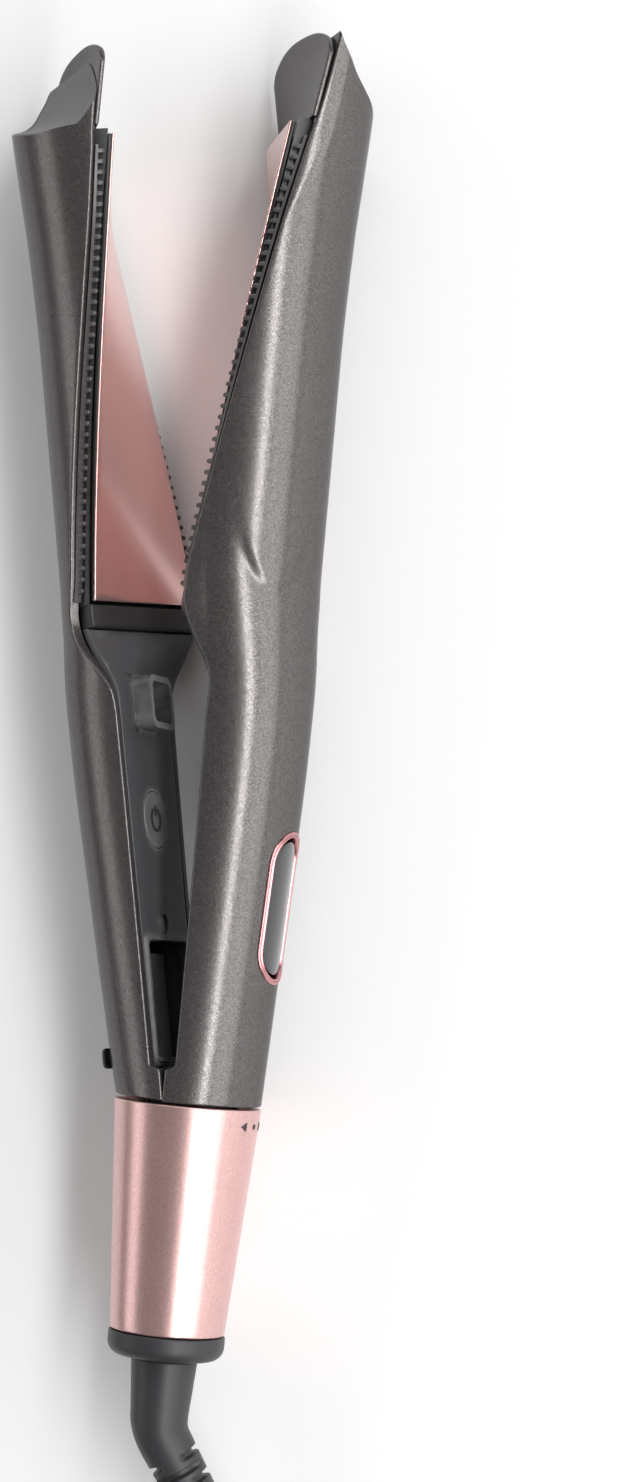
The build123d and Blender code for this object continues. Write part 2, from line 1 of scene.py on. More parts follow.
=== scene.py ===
"""Looks of a twisted-plate flat iron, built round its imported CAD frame.

Each arm piece is drawn in the closed iron's arm frame, in millimetres: a station runs from the top of
the temperature ring to the tips, a level is a distance from the plane in which the arms meet, and
"across" runs over the plate. ArmForm turns these into points, and Placement puts them in the row frame.
"""

import json
import logging
import math
from dataclasses import dataclass
from enum import Enum
from typing import Callable, Sequence

import bmesh
import bpy
from mathutils import Matrix, Vector

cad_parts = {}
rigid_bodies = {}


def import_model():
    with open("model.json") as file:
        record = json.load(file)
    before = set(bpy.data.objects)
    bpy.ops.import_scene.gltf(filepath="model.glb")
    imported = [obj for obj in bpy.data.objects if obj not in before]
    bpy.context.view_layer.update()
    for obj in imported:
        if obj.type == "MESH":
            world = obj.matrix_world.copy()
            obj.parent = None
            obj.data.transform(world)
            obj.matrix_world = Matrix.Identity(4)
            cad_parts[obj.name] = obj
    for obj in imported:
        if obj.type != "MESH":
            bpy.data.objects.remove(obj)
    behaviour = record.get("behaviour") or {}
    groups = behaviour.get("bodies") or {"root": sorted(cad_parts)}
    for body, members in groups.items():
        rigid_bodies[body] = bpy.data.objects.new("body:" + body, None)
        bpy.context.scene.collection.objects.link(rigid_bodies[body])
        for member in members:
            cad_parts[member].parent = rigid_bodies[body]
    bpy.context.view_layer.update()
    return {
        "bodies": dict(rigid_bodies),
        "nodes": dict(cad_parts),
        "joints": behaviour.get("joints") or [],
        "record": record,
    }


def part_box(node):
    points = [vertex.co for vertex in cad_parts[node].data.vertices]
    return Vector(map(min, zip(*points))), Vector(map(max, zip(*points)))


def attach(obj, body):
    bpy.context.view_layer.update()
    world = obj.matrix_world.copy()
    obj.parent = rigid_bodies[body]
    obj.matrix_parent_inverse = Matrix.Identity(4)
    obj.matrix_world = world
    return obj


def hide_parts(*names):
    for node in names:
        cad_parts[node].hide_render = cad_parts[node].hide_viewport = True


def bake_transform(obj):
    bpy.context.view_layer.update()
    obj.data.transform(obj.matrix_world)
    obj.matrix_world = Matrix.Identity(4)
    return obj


LOG = logging.getLogger("flat_iron")
MM = 0.001
MIX_FIRST, MIX_SECOND, MIX_RESULT = 6, 7, 2

EDGE_STEPS = (0.0, 0.1, 0.3, 0.6, 1.0)

Colour = tuple[float, float, float]
Faces = list[tuple[int, ...]]
Loop = list[Vector]


# ---- curves and tables --------------------------------------------------------------------------
def ease(t: float) -> float:
    """Smooth step from 0 to 1, flat outside that range."""
    t = min(max(t, 0.0), 1.0)
    return t * t * (3 - 2 * t)


def smooth_table(rows: Sequence[Sequence[float]], x: float) -> list[float]:
    """Monotone smooth curve through the rows of a table.

    Args:
        rows: Rows of (x, value, ...), in rising order of x.
        x: Where to read the curve.

    Returns:
        The other columns' values at x.
    """
    if x <= rows[0][0]:
        return list(rows[0][1:])
    if x >= rows[-1][0]:
        return list(rows[-1][1:])
    i = next(k for k in range(len(rows) - 1) if x <= rows[k + 1][0])
    width = rows[i + 1][0] - rows[i][0]
    t = (x - rows[i][0]) / width
    values = []
    for c in range(1, len(rows[0])):
        slopes = [(b[c] - a[c]) / (b[0] - a[0]) for a, b in zip(rows, rows[1:])]
        ends = []
        for k in (i, i + 1):
            p = slopes[max(k - 1, 0)]
            q = slopes[min(k, len(slopes) - 1)]
            ends.append(0.0 if p * q <= 0 else 2 * p * q / (p + q))
        a, b = rows[i][c], rows[i + 1][c]
        value = a * (1 + 2 * t) * (1 - t) ** 2 + b * t * t * (3 - 2 * t)
        value += width * (ends[0] * t * (1 - t) ** 2 - ends[1] * t * t * (1 - t))
        values.append(value)
    return values


def roll(distance: float, radius: float) -> float:
    """How far a rounded edge of a radius falls back at a distance from the edge."""
    x = radius - min(max(distance, 0.0), radius)
    return radius - math.sqrt(max(radius * radius - x * x, 0.0))


def spread(length: float, step: float, edge: float) -> list[float]:
    """Places from 0 to a length, with fine ones inside a rounded edge at each end.

    Args:
        length: Distance to divide.
        step: Largest step in the middle.
        edge: Radius of the rounded edge at both ends.

    Returns:
        The places in rising order.
    """
    fine = [edge * f for f in EDGE_STEPS]
    count = max(1, math.ceil((length - 2 * edge) / step))
    middle = [edge + (length - 2 * edge) * i / count for i in range(1, count)]
    return fine + middle + [length - f for f in reversed(fine)]


# ---- the arm's form -----------------------------------------------------------------------------
@dataclass(frozen=True)
class ArmForm:
    """Form that both arms share, in millimetres and degrees."""

    pivot: float = 3.5
    cover: tuple[float, float] = (8.0, 104.0)
    twist_start: float = 88.0
    twist_peak: float = 107.5
    peak_deg: float = 30.0
    twist_rate: float = -0.583
    plate: tuple[float, float] = (110.0, 213.0)
    tip: float = 214.0
    top: float = 235.4
    barrel: float = 18.6
    wall: float = 2.2
    meet: float = 0.15
    cover_levels: tuple[float, float] = (2.4, 4.4)
    nose_face: float = 4.2
    lip: float = 5.4
    plate_span: float = 78.0
    profile: tuple[tuple[float, float, float], ...] = (
        (0.0, 15.9, 15.6),
        (20.0, 16.9, 15.5),
        (42.0, 18.0, 15.7),
        (81.0, 19.6, 16.4),
        (95.0, 19.7, 17.3),
        (107.5, 19.2, 18.2),
        (116.0, 18.6, 18.6),
        (165.0, 18.6, 18.6),
        (190.0, 19.2, 19.0),
        (205.0, 20.1, 19.3),
        (222.0, 21.0, 19.4),
        (235.4, 21.2, 19.4),
    )

    def twist(self, s: float) -> float:
        """Angle of the arm's middle about the long axis, in radians.

        Args:
            s: Station along the arm.

        Returns:
            The angle at the station.
        """
        if s < self.twist_peak:
            share = ease((s - self.twist_start) / (self.twist_peak - self.twist_start))
            return math.radians(self.peak_deg * share)
        return math.radians(self.peak_deg + self.twist_rate * (s - self.twist_peak))

    def outline(self, s: float) -> tuple[float, float]:
        """Offset of the outer arc's centre and its radius at a station."""
        depth, half_width = smooth_table(self.profile, s)
        return depth - half_width, half_width

    def span(self, s: float) -> float:
        """Half angle of the shell's arc at a station, in radians.

        Args:
            s: Station along the arm.

        Returns:
            The half angle at the station.
        """
        offset, radius = self.outline(s)
        low = self.meet + (self.cover_levels[0] - self.meet) * ease((s - 6.8) / 1.5)
        handle = math.acos((low - offset) / radius)
        share = ease((s - self.twist_start + 4) / (self.twist_peak - self.twist_start + 4))
        barrel = math.radians(self.plate_span)
        closed = math.acos((self.lip + 0.1 - offset) / radius)
        barrel += (closed - barrel) * ease((s - self.tip + 6) / 6)
        return handle + share * (barrel - handle)

    def comb_back(self, s: float) -> float:
        """Level of the back of the comb row, just inside the shell's edge."""
        offset, radius = self.outline(s)
        return offset + (radius - self.wall) * math.cos(math.radians(self.plate_span)) - 0.2

    def at(self, s: float, level: float, across: float) -> Vector:
        """Point of the twisted arm.

        Args:
            s: Station along the arm.
            level: Level before the twist.
            across: Distance across before the twist.

        Returns:
            The point, turned by the twist at the station.
        """
        m = self.twist(s)
        c, n = math.cos(m), math.sin(m)
        return Vector((level * c - across * n, s, level * n + across * c))

    def skin(self, s: float, across: float, height: float) -> Vector:
        """Point over the outer face of the handle, from its straight width across.

        Args:
            s: Station along the arm.
            across: Straight width from the middle.
            height: Height over the outer face.

        Returns:
            The point over the face.
        """
        offset, radius = self.outline(s)
        angle = math.asin(across / radius)
        reach = radius + height
        return self.at(s, offset + reach * math.cos(angle), reach * math.sin(angle))


@dataclass(frozen=True)
class Placement:
    """Where an arm stands: its matrix from the arm frame to metres, and the body it rides on."""

    prefix: str
    body: str
    matrix: Matrix
    open_deg: float

    @staticmethod
    def pair(form: ArmForm, open_deg: float) -> tuple["Placement", "Placement"]:
        """Placements of the front and the rear arm, read from the hinge pin in the frame.

        Args:
            form: The arm's form, for its pivot station.
            open_deg: Opening angle at rest.

        Returns:
            The front arm's placement and the rear arm's.
        """
        low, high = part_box("hinge_pin")
        pin = (low + high) / 2
        scale = Matrix.Diagonal((MM, MM, MM, 1.0))
        back = Matrix.Translation((0, -form.pivot, 0))
        stand = Matrix.Translation(pin) @ scale @ back
        swing = Matrix.Rotation(math.radians(open_deg), 4, "Z")
        turned = Matrix.Translation(pin) @ swing @ scale @ back @ Matrix.Rotation(math.pi, 4, "Y")
        front = Placement("front", "handle", stand, 0.0)
        rear = Placement("rear", "rear_arm", turned, open_deg)
        return front, rear


# ---- mesh work ----------------------------------------------------------------------------------
class Builder:
    """Points and faces of one piece while it is drawn."""

    def __init__(self) -> None:
        """Starts with nothing drawn."""
        self.points: list[Vector] = []
        self.faces: Faces = []

    def loft(self, loops: Sequence[Loop], caps: bool = True, ring: bool = False) -> None:
        """Skins closed loops of equal counts.

        Args:
            loops: The loops in order.
            caps: Whether the first and last loops are filled.
            ring: Whether the last loop joins the first.
        """
        base, size = len(self.points), len(loops[0])
        for loop in loops:
            self.points.extend(loop)
        count = len(loops)
        for k in range(count if ring else count - 1):
            a, b = base + k * size, base + ((k + 1) % count) * size
            for i in range(size):
                j = (i + 1) % size
                self.faces.append((a + i, a + j, b + j, b + i))
        if caps and not ring:
            self.faces.append(tuple(base + i for i in reversed(range(size))))
            last = base + (count - 1) * size
            self.faces.append(tuple(last + i for i in range(size)))

    def sheet_pair(self, columns: Sequence[Loop]) -> None:
        """Skins columns that run up one face and down the other, with a strip along each side.

        Args:
            columns: Columns of equal counts; point i faces point n - 1 - i through the thickness.
        """
        base, size = len(self.points), len(columns[0])
        self.loft(columns, caps=False)
        for start, flip in ((base, False), (base + (len(columns) - 1) * size, True)):
            for i in range(size // 2 - 1):
                quad = (start + i, start + size - 1 - i, start + size - 2 - i, start + i + 1)
                self.faces.append(tuple(reversed(quad)) if flip else quad)

    def lathe(self, profile: Sequence[tuple[float, float]], segments: int = 96, frame: Matrix | None = None,
              ring: bool = False) -> None:
        """Turns a (radius, height) profile about the frame's Z axis.

        Args:
            profile: Corners from one end to the other.
            segments: Points round the axis.
            frame: Where the axis stands, or None for the long axis of the arm frame.
            ring: Whether the profile closes on itself, as a tube's does.
        """
        place = frame or Matrix.Rotation(-math.pi / 2, 4, "X")
        angles = [2 * math.pi * i / segments for i in range(segments)]
        rim = [Vector((math.cos(a), math.sin(a), 0)) for a in angles]
        loops = []
        for radius, height in profile:
            rise = Vector((0, 0, height))
            loops.append([place @ (p * radius + rise) for p in rim])
        self.loft(loops, ring=ring)

    def finish(self, name: str, matrix: Matrix, finish: "Finish", sharp: float = 42.0) -> bpy.types.Object:
        """Makes the mesh object.

        Args:
            name: The piece's name.
            matrix: From the drawing's own frame to the row frame, in metres.
            finish: The surface finish.
            sharp: Edges with a larger angle than this stay sharp, in degrees.

        Returns:
            The new object, linked to the scene.
        """
        mesh = bpy.data.meshes.new(name)
        mesh.from_pydata([matrix @ p for p in self.points], [], self.faces)
        work = bmesh.new()
        work.from_mesh(mesh)
        bmesh.ops.remove_doubles(work, verts=work.verts, dist=2e-6)
        bmesh.ops.dissolve_degenerate(work, edges=work.edges, dist=1e-6)
        bmesh.ops.recalc_face_normals(work, faces=work.faces)
        work.to_mesh(mesh)
        work.free()
        mesh.shade_smooth()
        mesh.set_sharp_from_angle(angle=math.radians(sharp))
        mesh.materials.append(finish.material())
        made = bpy.data.objects.new(name, mesh)
        bpy.context.scene.collection.objects.link(made)
        return made


def cut(target: bpy.types.Object, cutter: bpy.types.Object, operation: str = "DIFFERENCE") -> None:
    """Applies a boolean to a piece and removes the tool.

    Args:
        target: The piece that changes.
        cutter: The solid that is taken away or added, which is deleted.
        operation: DIFFERENCE or UNION.
    """
    tool = target.modifiers.new("tool", "BOOLEAN")
    tool.operation, tool.solver, tool.object = operation, "EXACT", cutter
    graph = bpy.context.evaluated_depsgraph_get()
    result = bpy.data.meshes.new_from_object(target.evaluated_get(graph))
    target.modifiers.remove(tool)
    target.data = result
    result.shade_smooth()
    result.set_sharp_from_angle(angle=math.radians(35))
    bpy.data.objects.remove(cutter)


def paint(made: bpy.types.Object, finish: "Finish", place: Matrix, inside: Callable[[Vector], bool]) -> None:
    """Gives the faces of a piece that pass a test a second finish.

    Args:
        made: The piece.
        finish: The second finish.
        place: From the arm frame, in millimetres, to the piece's own.
        inside: Test of a face's centre in the arm frame.
    """
    back = place.inverted()
    made.data.materials.append(finish.material())
    for face in made.data.polygons:
        if inside(back @ face.center):
            face.material_index = len(made.data.materials) - 1


def round_corner(column: Loop, corner: int, reach: int, passes: int) -> None:
    """Softens one corner of a column of points, in place.

    Args:
        column: Points of one column.
        corner: Index of the corner's point.
        reach: Points softened on each side of it.
        passes: Times that they are averaged.
    """
    for _ in range(passes):
        before = [p.copy() for p in column]
        for k in range(corner - reach, corner + reach + 1):
            column[k] = before[k - 1] * 0.25 + before[k] * 0.5 + before[k + 1] * 0.25


def slab_columns(form: ArmForm, start: Callable[[float], float], end: Callable[[float], float],
                 half: Callable[[float], float], levels: tuple[float, float], edge: float,
                 steps: tuple[float, float]) -> list[Loop]:
    """Columns of a flat piece that follows the twist, with rounded edges all round.

    Args:
        form: The arm's form.
        start: First station at a share of the width, from -1 to 1.
        end: Last station at such a share.
        half: Half width at a station.
        levels: Face and back level.
        edge: Radius of the edges.
        steps: Largest step across and along.

    Returns:
        Columns for Builder.sheet_pair.
    """
    middle = half((start(0) + end(0)) / 2)
    shares = [x / middle - 1 for x in spread(2 * middle, steps[0], edge)]
    along = spread(end(0) - start(0), steps[1], edge)
    columns = []
    for u in shares:
        low, high = start(u), end(u)
        stretch = (high - low) / (end(0) - start(0))
        face, back = [], []
        for x in along:
            s = low + x * stretch
            width = half(s)
            near = min(width * (1 - abs(u)), x * stretch, high - s)
            inset = roll(near, edge)
            face.append(form.at(s, levels[0] + inset, u * width))
            back.append(form.at(s, levels[1] - inset, u * width))
        columns.append(face + back[::-1])
    return columns


# ---- finishes -----------------------------------------------------------------------------------
class Effect(Enum):
    """Shared shader effects, each one a node group that is built once."""

    FLAKE = "metal flake"
    GRAIN = "moulded grain"
    MOTTLE = "slow mottling"
    # Edge wear on most finishes; on the comb rows it paints a reflection on the rims.
    WEAR_AND_SHEEN = "edge wear"


class Groups:
    """Makes the shared node groups on first use."""

    made: dict[Effect, bpy.types.NodeTree] = {}

    @classmethod
    def get(cls, effect: Effect) -> bpy.types.NodeTree:
        """The node group of an effect.

        Args:
            effect: The effect that is asked for.

        Returns:
            Its node group, built on first use.
        """
        if effect not in cls.made:
            makers = {
                Effect.FLAKE: cls.flake,
                Effect.GRAIN: cls.grain,
                Effect.MOTTLE: cls.mottle,
                Effect.WEAR_AND_SHEEN: cls.wear_and_sheen,
            }
            cls.made[effect] = makers[effect]()
        return cls.made[effect]

    @staticmethod
    def tree(name: str, inputs: dict[str, str], outputs: dict[str, str]) -> tuple[bpy.types.NodeTree, dict]:
        """Starts a group with its sockets.

        Args:
            name: The group's name.
            inputs: Socket type by input name.
            outputs: Socket type by output name.

        Returns:
            The tree, and its input and output nodes by the keys "in" and "out".
        """
        tree = bpy.data.node_groups.new(name, "ShaderNodeTree")
        for label, kind in inputs.items():
            tree.interface.new_socket(name=label, in_out="INPUT", socket_type=kind)
        for label, kind in outputs.items():
            tree.interface.new_socket(name=label, in_out="OUTPUT", socket_type=kind)
        ends = {"in": tree.nodes.new("NodeGroupInput"), "out": tree.nodes.new("NodeGroupOutput")}
        return tree, ends

    @staticmethod
    def math(
        tree: bpy.types.NodeTree, operation: str, a: object, b: object = 0.0, c: object = 0.0
    ) -> bpy.types.NodeSocket:
        """A math node with sockets or numbers for its inputs, and its output socket.

        Args:
            tree: Tree that gets the node.
            operation: Blender's name of the operation.
            a: First input, a socket or a number.
            b: Second input, a socket or a number.
            c: Third input, a socket or a number.

        Returns:
            The node's output socket.
        """
        node = tree.nodes.new("ShaderNodeMath")
        node.operation = operation
        for slot, value in zip(node.inputs, (a, b, c)):
            if isinstance(value, bpy.types.NodeSocket):
                tree.links.new(value, slot)
            else:
                slot.default_value = value
        return node.outputs[0]

    @classmethod
    def flake(cls) -> bpy.types.NodeTree:
        """Fine metal flakes in a lacquer: a tint and a height that vary from cell to cell.

        Returns:
            The node group.
        """
        vector, number, colour = "NodeSocketVector", "NodeSocketFloat", "NodeSocketColor"
        tree, ends = cls.tree(
            Effect.FLAKE.value,
            {"Vector": vector, "Color": colour, "Scale": number, "Strength": number},
            {"Color": colour, "Height": number},
        )
        source, result = ends["in"].outputs, ends["out"].inputs
        cells = tree.nodes.new("ShaderNodeTexVoronoi")
        tree.links.new(source["Vector"], cells.inputs["Vector"])
        tree.links.new(source["Scale"], cells.inputs["Scale"])
        split = tree.nodes.new("ShaderNodeSeparateColor")
        tree.links.new(cells.outputs["Color"], split.inputs[0])
        swing = cls.math(tree, "MULTIPLY_ADD", split.outputs[0], 2.0, -1.0)
        gain = cls.math(tree, "MULTIPLY_ADD", swing, source["Strength"], 1.0)
        shade = tree.nodes.new("ShaderNodeVectorMath")
        shade.operation = "SCALE"
        tree.links.new(source["Color"], shade.inputs[0])
        tree.links.new(gain, shade.inputs["Scale"])
        tree.links.new(shade.outputs[0], result["Color"])
        tree.links.new(split.outputs[1], result["Height"])
        return tree

    @classmethod
    def grain(cls) -> bpy.types.NodeTree:
        """Moulded or blasted grain: a height made of a coarse and a fine noise.

        Returns:
            The node group.
        """
        vector, number = "NodeSocketVector", "NodeSocketFloat"
        tree, ends = cls.tree(Effect.GRAIN.value, {"Vector": vector, "Scale": number}, {"Height": number})
        source, result = ends["in"].outputs, ends["out"].inputs
        heights = []
        for factor in (1.0, 3.7):
            noise = tree.nodes.new("ShaderNodeTexNoise")
            noise.inputs["Detail"].default_value = 2.0
            tree.links.new(source["Vector"], noise.inputs["Vector"])
            tree.links.new(cls.math(tree, "MULTIPLY", source["Scale"], factor), noise.inputs["Scale"])
            heights.append(noise.outputs[0])
        tree.links.new(cls.math(tree, "MULTIPLY_ADD", heights[1], 0.4, heights[0]), result["Height"])
        return tree

    @classmethod
    def mottle(cls) -> bpy.types.NodeTree:
        """Slow drift of tone and gloss, as handling and paint leave it.

        Returns:
            The node group.
        """
        vector, number, colour = "NodeSocketVector", "NodeSocketFloat", "NodeSocketColor"
        tree, ends = cls.tree(
            Effect.MOTTLE.value,
            {"Vector": vector, "Color": colour, "Tone": number, "Roughness": number, "Drift": number},
            {"Color": colour, "Roughness": number},
        )
        source, result = ends["in"].outputs, ends["out"].inputs
        noise = tree.nodes.new("ShaderNodeTexNoise")
        noise.inputs["Scale"].default_value = 55.0
        noise.inputs["Detail"].default_value = 4.0
        tree.links.new(source["Vector"], noise.inputs["Vector"])
        swing = cls.math(tree, "MULTIPLY_ADD", noise.outputs[0], 2.0, -1.0)
        gain = cls.math(tree, "MULTIPLY_ADD", swing, source["Tone"], 1.0)
        shade = tree.nodes.new("ShaderNodeVectorMath")
        shade.operation = "SCALE"
        tree.links.new(source["Color"], shade.inputs[0])
        tree.links.new(gain, shade.inputs["Scale"])
        tree.links.new(shade.outputs[0], result["Color"])
        rough = cls.math(tree, "MULTIPLY_ADD", swing, source["Drift"], source["Roughness"])
        tree.links.new(rough, result["Roughness"])
        return tree

    @classmethod
    def wear_and_sheen(cls) -> bpy.types.NodeTree:
        """Mask of rubbed edges, broken up by a noise; on the comb rows the same mask lays a painted pinkish
        reflection on the teeth's rims.

        Returns:
            The node group.
        """
        vector, number = "NodeSocketVector", "NodeSocketFloat"
        tree, ends = cls.tree(Effect.WEAR_AND_SHEEN.value, {"Vector": vector, "Amount": number}, {"Mask": number})
        source, result = ends["in"].outputs, ends["out"].inputs
        geometry = tree.nodes.new("ShaderNodeNewGeometry")
        edge = cls.math(tree, "MULTIPLY_ADD", geometry.outputs["Pointiness"], 9.0, -4.75)
        noise = tree.nodes.new("ShaderNodeTexNoise")
        noise.inputs["Scale"].default_value = 420.0
        tree.links.new(source["Vector"], noise.inputs["Vector"])
        broken = cls.math(tree, "MULTIPLY", edge, noise.outputs[0])
        amount = cls.math(tree, "MULTIPLY", broken, source["Amount"])
        low = cls.math(tree, "MAXIMUM", amount, 0.0)
        tree.links.new(cls.math(tree, "MINIMUM", low, 1.0), result["Mask"])
        return tree


@dataclass(frozen=True)
class Finish:
    """A surface finish: its plain values and how strong each shared effect is in it."""

    name: str
    colour: Colour
    roughness: float = 0.45
    metallic: float = 0.0
    coat: float = 0.0
    coat_roughness: float = 0.1
    specular: float = 0.5
    tone: float = 0.06
    drift: float = 0.05
    flake: float = 0.0
    flake_scale: float = 4200.0
    flake_depth: float = 0.0
    grain_scale: float = 2600.0
    grain_depth: float = 0.01
    # Edge mask and its colour: rubbed edges on most finishes, painted pinkish reflection on the comb rows.
    wear_and_sheen: float = 0.0
    wear_and_sheen_colour: Colour = (0.6, 0.6, 0.6)
    anisotropic: float = 0.0
    edge_tint: float = 1.0

    def material(self) -> bpy.types.Material:
        """The Blender material, built on first use.

        Returns:
            The material with this finish.
        """
        title = f"{self.name} finish"
        known = bpy.data.materials.get(title)
        if known:
            return known
        made = bpy.data.materials.new(title)
        made.use_nodes = True
        tree = made.node_tree
        shader = next(n for n in tree.nodes if n.type == "BSDF_PRINCIPLED")
        place = tree.nodes.new("ShaderNodeTexCoord").outputs["Object"]
        mottle = self.group(tree, Effect.MOTTLE, place)
        mottle.inputs["Color"].default_value = (*self.colour, 1.0)
        mottle.inputs["Tone"].default_value = self.tone
        mottle.inputs["Roughness"].default_value = self.roughness
        mottle.inputs["Drift"].default_value = self.drift
        colour = mottle.outputs["Color"]
        height = self.group(tree, Effect.GRAIN, place)
        height.inputs["Scale"].default_value = self.grain_scale
        bump = tree.nodes.new("ShaderNodeBump")
        bump.inputs["Distance"].default_value = self.grain_depth * MM
        tree.links.new(height.outputs["Height"], bump.inputs["Height"])
        if self.flake:
            flakes = self.group(tree, Effect.FLAKE, place)
            flakes.inputs["Scale"].default_value = self.flake_scale
            flakes.inputs["Strength"].default_value = self.flake
            tree.links.new(colour, flakes.inputs["Color"])
            colour = flakes.outputs["Color"]
            second = tree.nodes.new("ShaderNodeBump")
            second.inputs["Distance"].default_value = self.flake_depth * MM
            tree.links.new(flakes.outputs["Height"], second.inputs["Height"])
            tree.links.new(bump.outputs["Normal"], second.inputs["Normal"])
            bump = second
        # Edge mask: rubbed edges, and on the comb rows a painted pinkish reflection on the rims.
        if self.wear_and_sheen:
            worn_and_sheen = self.group(tree, Effect.WEAR_AND_SHEEN, place)
            worn_and_sheen.inputs["Amount"].default_value = self.wear_and_sheen
            blend = tree.nodes.new("ShaderNodeMix")
            blend.data_type = "RGBA"
            tree.links.new(worn_and_sheen.outputs["Mask"], blend.inputs["Factor"])
            tree.links.new(colour, blend.inputs[MIX_FIRST])
            blend.inputs[MIX_SECOND].default_value = (*self.wear_and_sheen_colour, 1.0)
            colour = blend.outputs[MIX_RESULT]
        tree.links.new(colour, shader.inputs["Base Color"])
        tree.links.new(mottle.outputs["Roughness"], shader.inputs["Roughness"])
        tree.links.new(bump.outputs["Normal"], shader.inputs["Normal"])
        shader.inputs["Metallic"].default_value = self.metallic
        shader.inputs["Specular IOR Level"].default_value = self.specular
        shader.inputs["Specular Tint"].default_value = (self.edge_tint, self.edge_tint, self.edge_tint, 1.0)
        shader.inputs["Coat Weight"].default_value = self.coat
        shader.inputs["Coat Roughness"].default_value = self.coat_roughness
        shader.inputs["Anisotropic"].default_value = self.anisotropic
        return made

    @staticmethod
    def group(tree: bpy.types.NodeTree, effect: Effect, place: bpy.types.NodeSocket) -> bpy.types.Node:
        """Places a shared effect in a material, fed with the object's coordinates.

        Args:
            tree: The material's node tree.
            effect: The shared effect.
            place: Socket that gives the coordinates.

        Returns:
            The group node.
        """
        node = tree.nodes.new("ShaderNodeGroup")
        node.node_tree = Groups.get(effect)
        tree.links.new(place, node.inputs["Vector"])
        return node


GUNMETAL = Finish("gunmetal", (0.13, 0.121, 0.119), 0.27, 0.8, 0.2, 0.12, flake=0.3, flake_depth=0.008,
                  wear_and_sheen=0.06, tone=0.03, drift=0.03, edge_tint=0.45)
INNER_DARK = Finish("inner_dark", (0.058, 0.059, 0.064), 0.42, 0.0, grain_depth=0.012, wear_and_sheen=0.5,
                    wear_and_sheen_colour=(0.2, 0.2, 0.2))
ROSE_PLATE = Finish("rose_plate", (0.86, 0.55, 0.52), 0.22, 0.9, 0.3, 0.05, grain_depth=0.001, tone=0.03)
ROSE_RING = Finish("rose_ring", (0.72, 0.46, 0.44), 0.28, 0.86, 0.1, 0.2, flake=0.12, flake_depth=0.004,
                   tone=0.02, drift=0.02)
ROSE_TRIM = Finish("rose_trim", (0.62, 0.3, 0.31), 0.27, 1.0, grain_depth=0.001, tone=0.03)
BLACK_FRAME = Finish("black_frame", (0.018, 0.018, 0.019), 0.4, grain_depth=0.01, wear_and_sheen=0.4,
                     wear_and_sheen_colour=(0.12, 0.12, 0.12))
BLACK_SOFT = Finish("black_soft", (0.028, 0.028, 0.031), 0.46, grain_depth=0.02, grain_scale=1900.0)
# Comb rows: black on the real iron; this lighter grey is painted light for the lit teeth, and the pinkish
# edge colour is a painted reflection on their rims.
COMB_PAINTED_LIGHT = Finish("comb_painted_light", (0.045, 0.043, 0.043), 0.3, grain_depth=0.004, wear_and_sheen=0.6,
                    wear_and_sheen_colour=(0.2, 0.18, 0.18))
CORD_JACKET = Finish("cord_jacket", (0.022, 0.022, 0.024), 0.5, grain_depth=0.02, grain_scale=1500.0)
DISPLAY_GLASS = Finish("display_glass", (0.012, 0.012, 0.014), 0.12, 0.0, 1.0, 0.03, grain_depth=0.0005)
BUTTON_GREY = Finish("button_grey", (0.15, 0.15, 0.156), 0.38, grain_depth=0.01)
PRINT_DARK = Finish("print_dark", (0.03, 0.028, 0.028), 0.55)
STEEL = Finish("steel", (0.17, 0.17, 0.175), 0.34, 1.0, grain_depth=0.004)
BRASS = Finish("contact_brass", (0.72, 0.53, 0.26), 0.3, 1.0, grain_depth=0.004)
NICKEL = Finish("pin_nickel", (0.66, 0.64, 0.6), 0.2, 1.0, grain_depth=0.002, wear_and_sheen=0.4)
HEATER = Finish("heater_white", (0.78, 0.77, 0.74), 0.7, grain_depth=0.02)
INSULATION = Finish("insulation_tan", (0.6, 0.36, 0.14), 0.4, grain_depth=0.01)
BOARD = Finish("board_green", (0.03, 0.16, 0.07), 0.4, 0.0, 0.4, grain_depth=0.004)
CHIP = Finish("chip_black", (0.025, 0.025, 0.027), 0.5)
WIRE = Finish("wire_red", (0.5, 0.04, 0.03), 0.4)
FLOOR = Finish("studio_floor", (0.93, 0.93, 0.93), 0.8, grain_depth=0.0, tone=0.0)


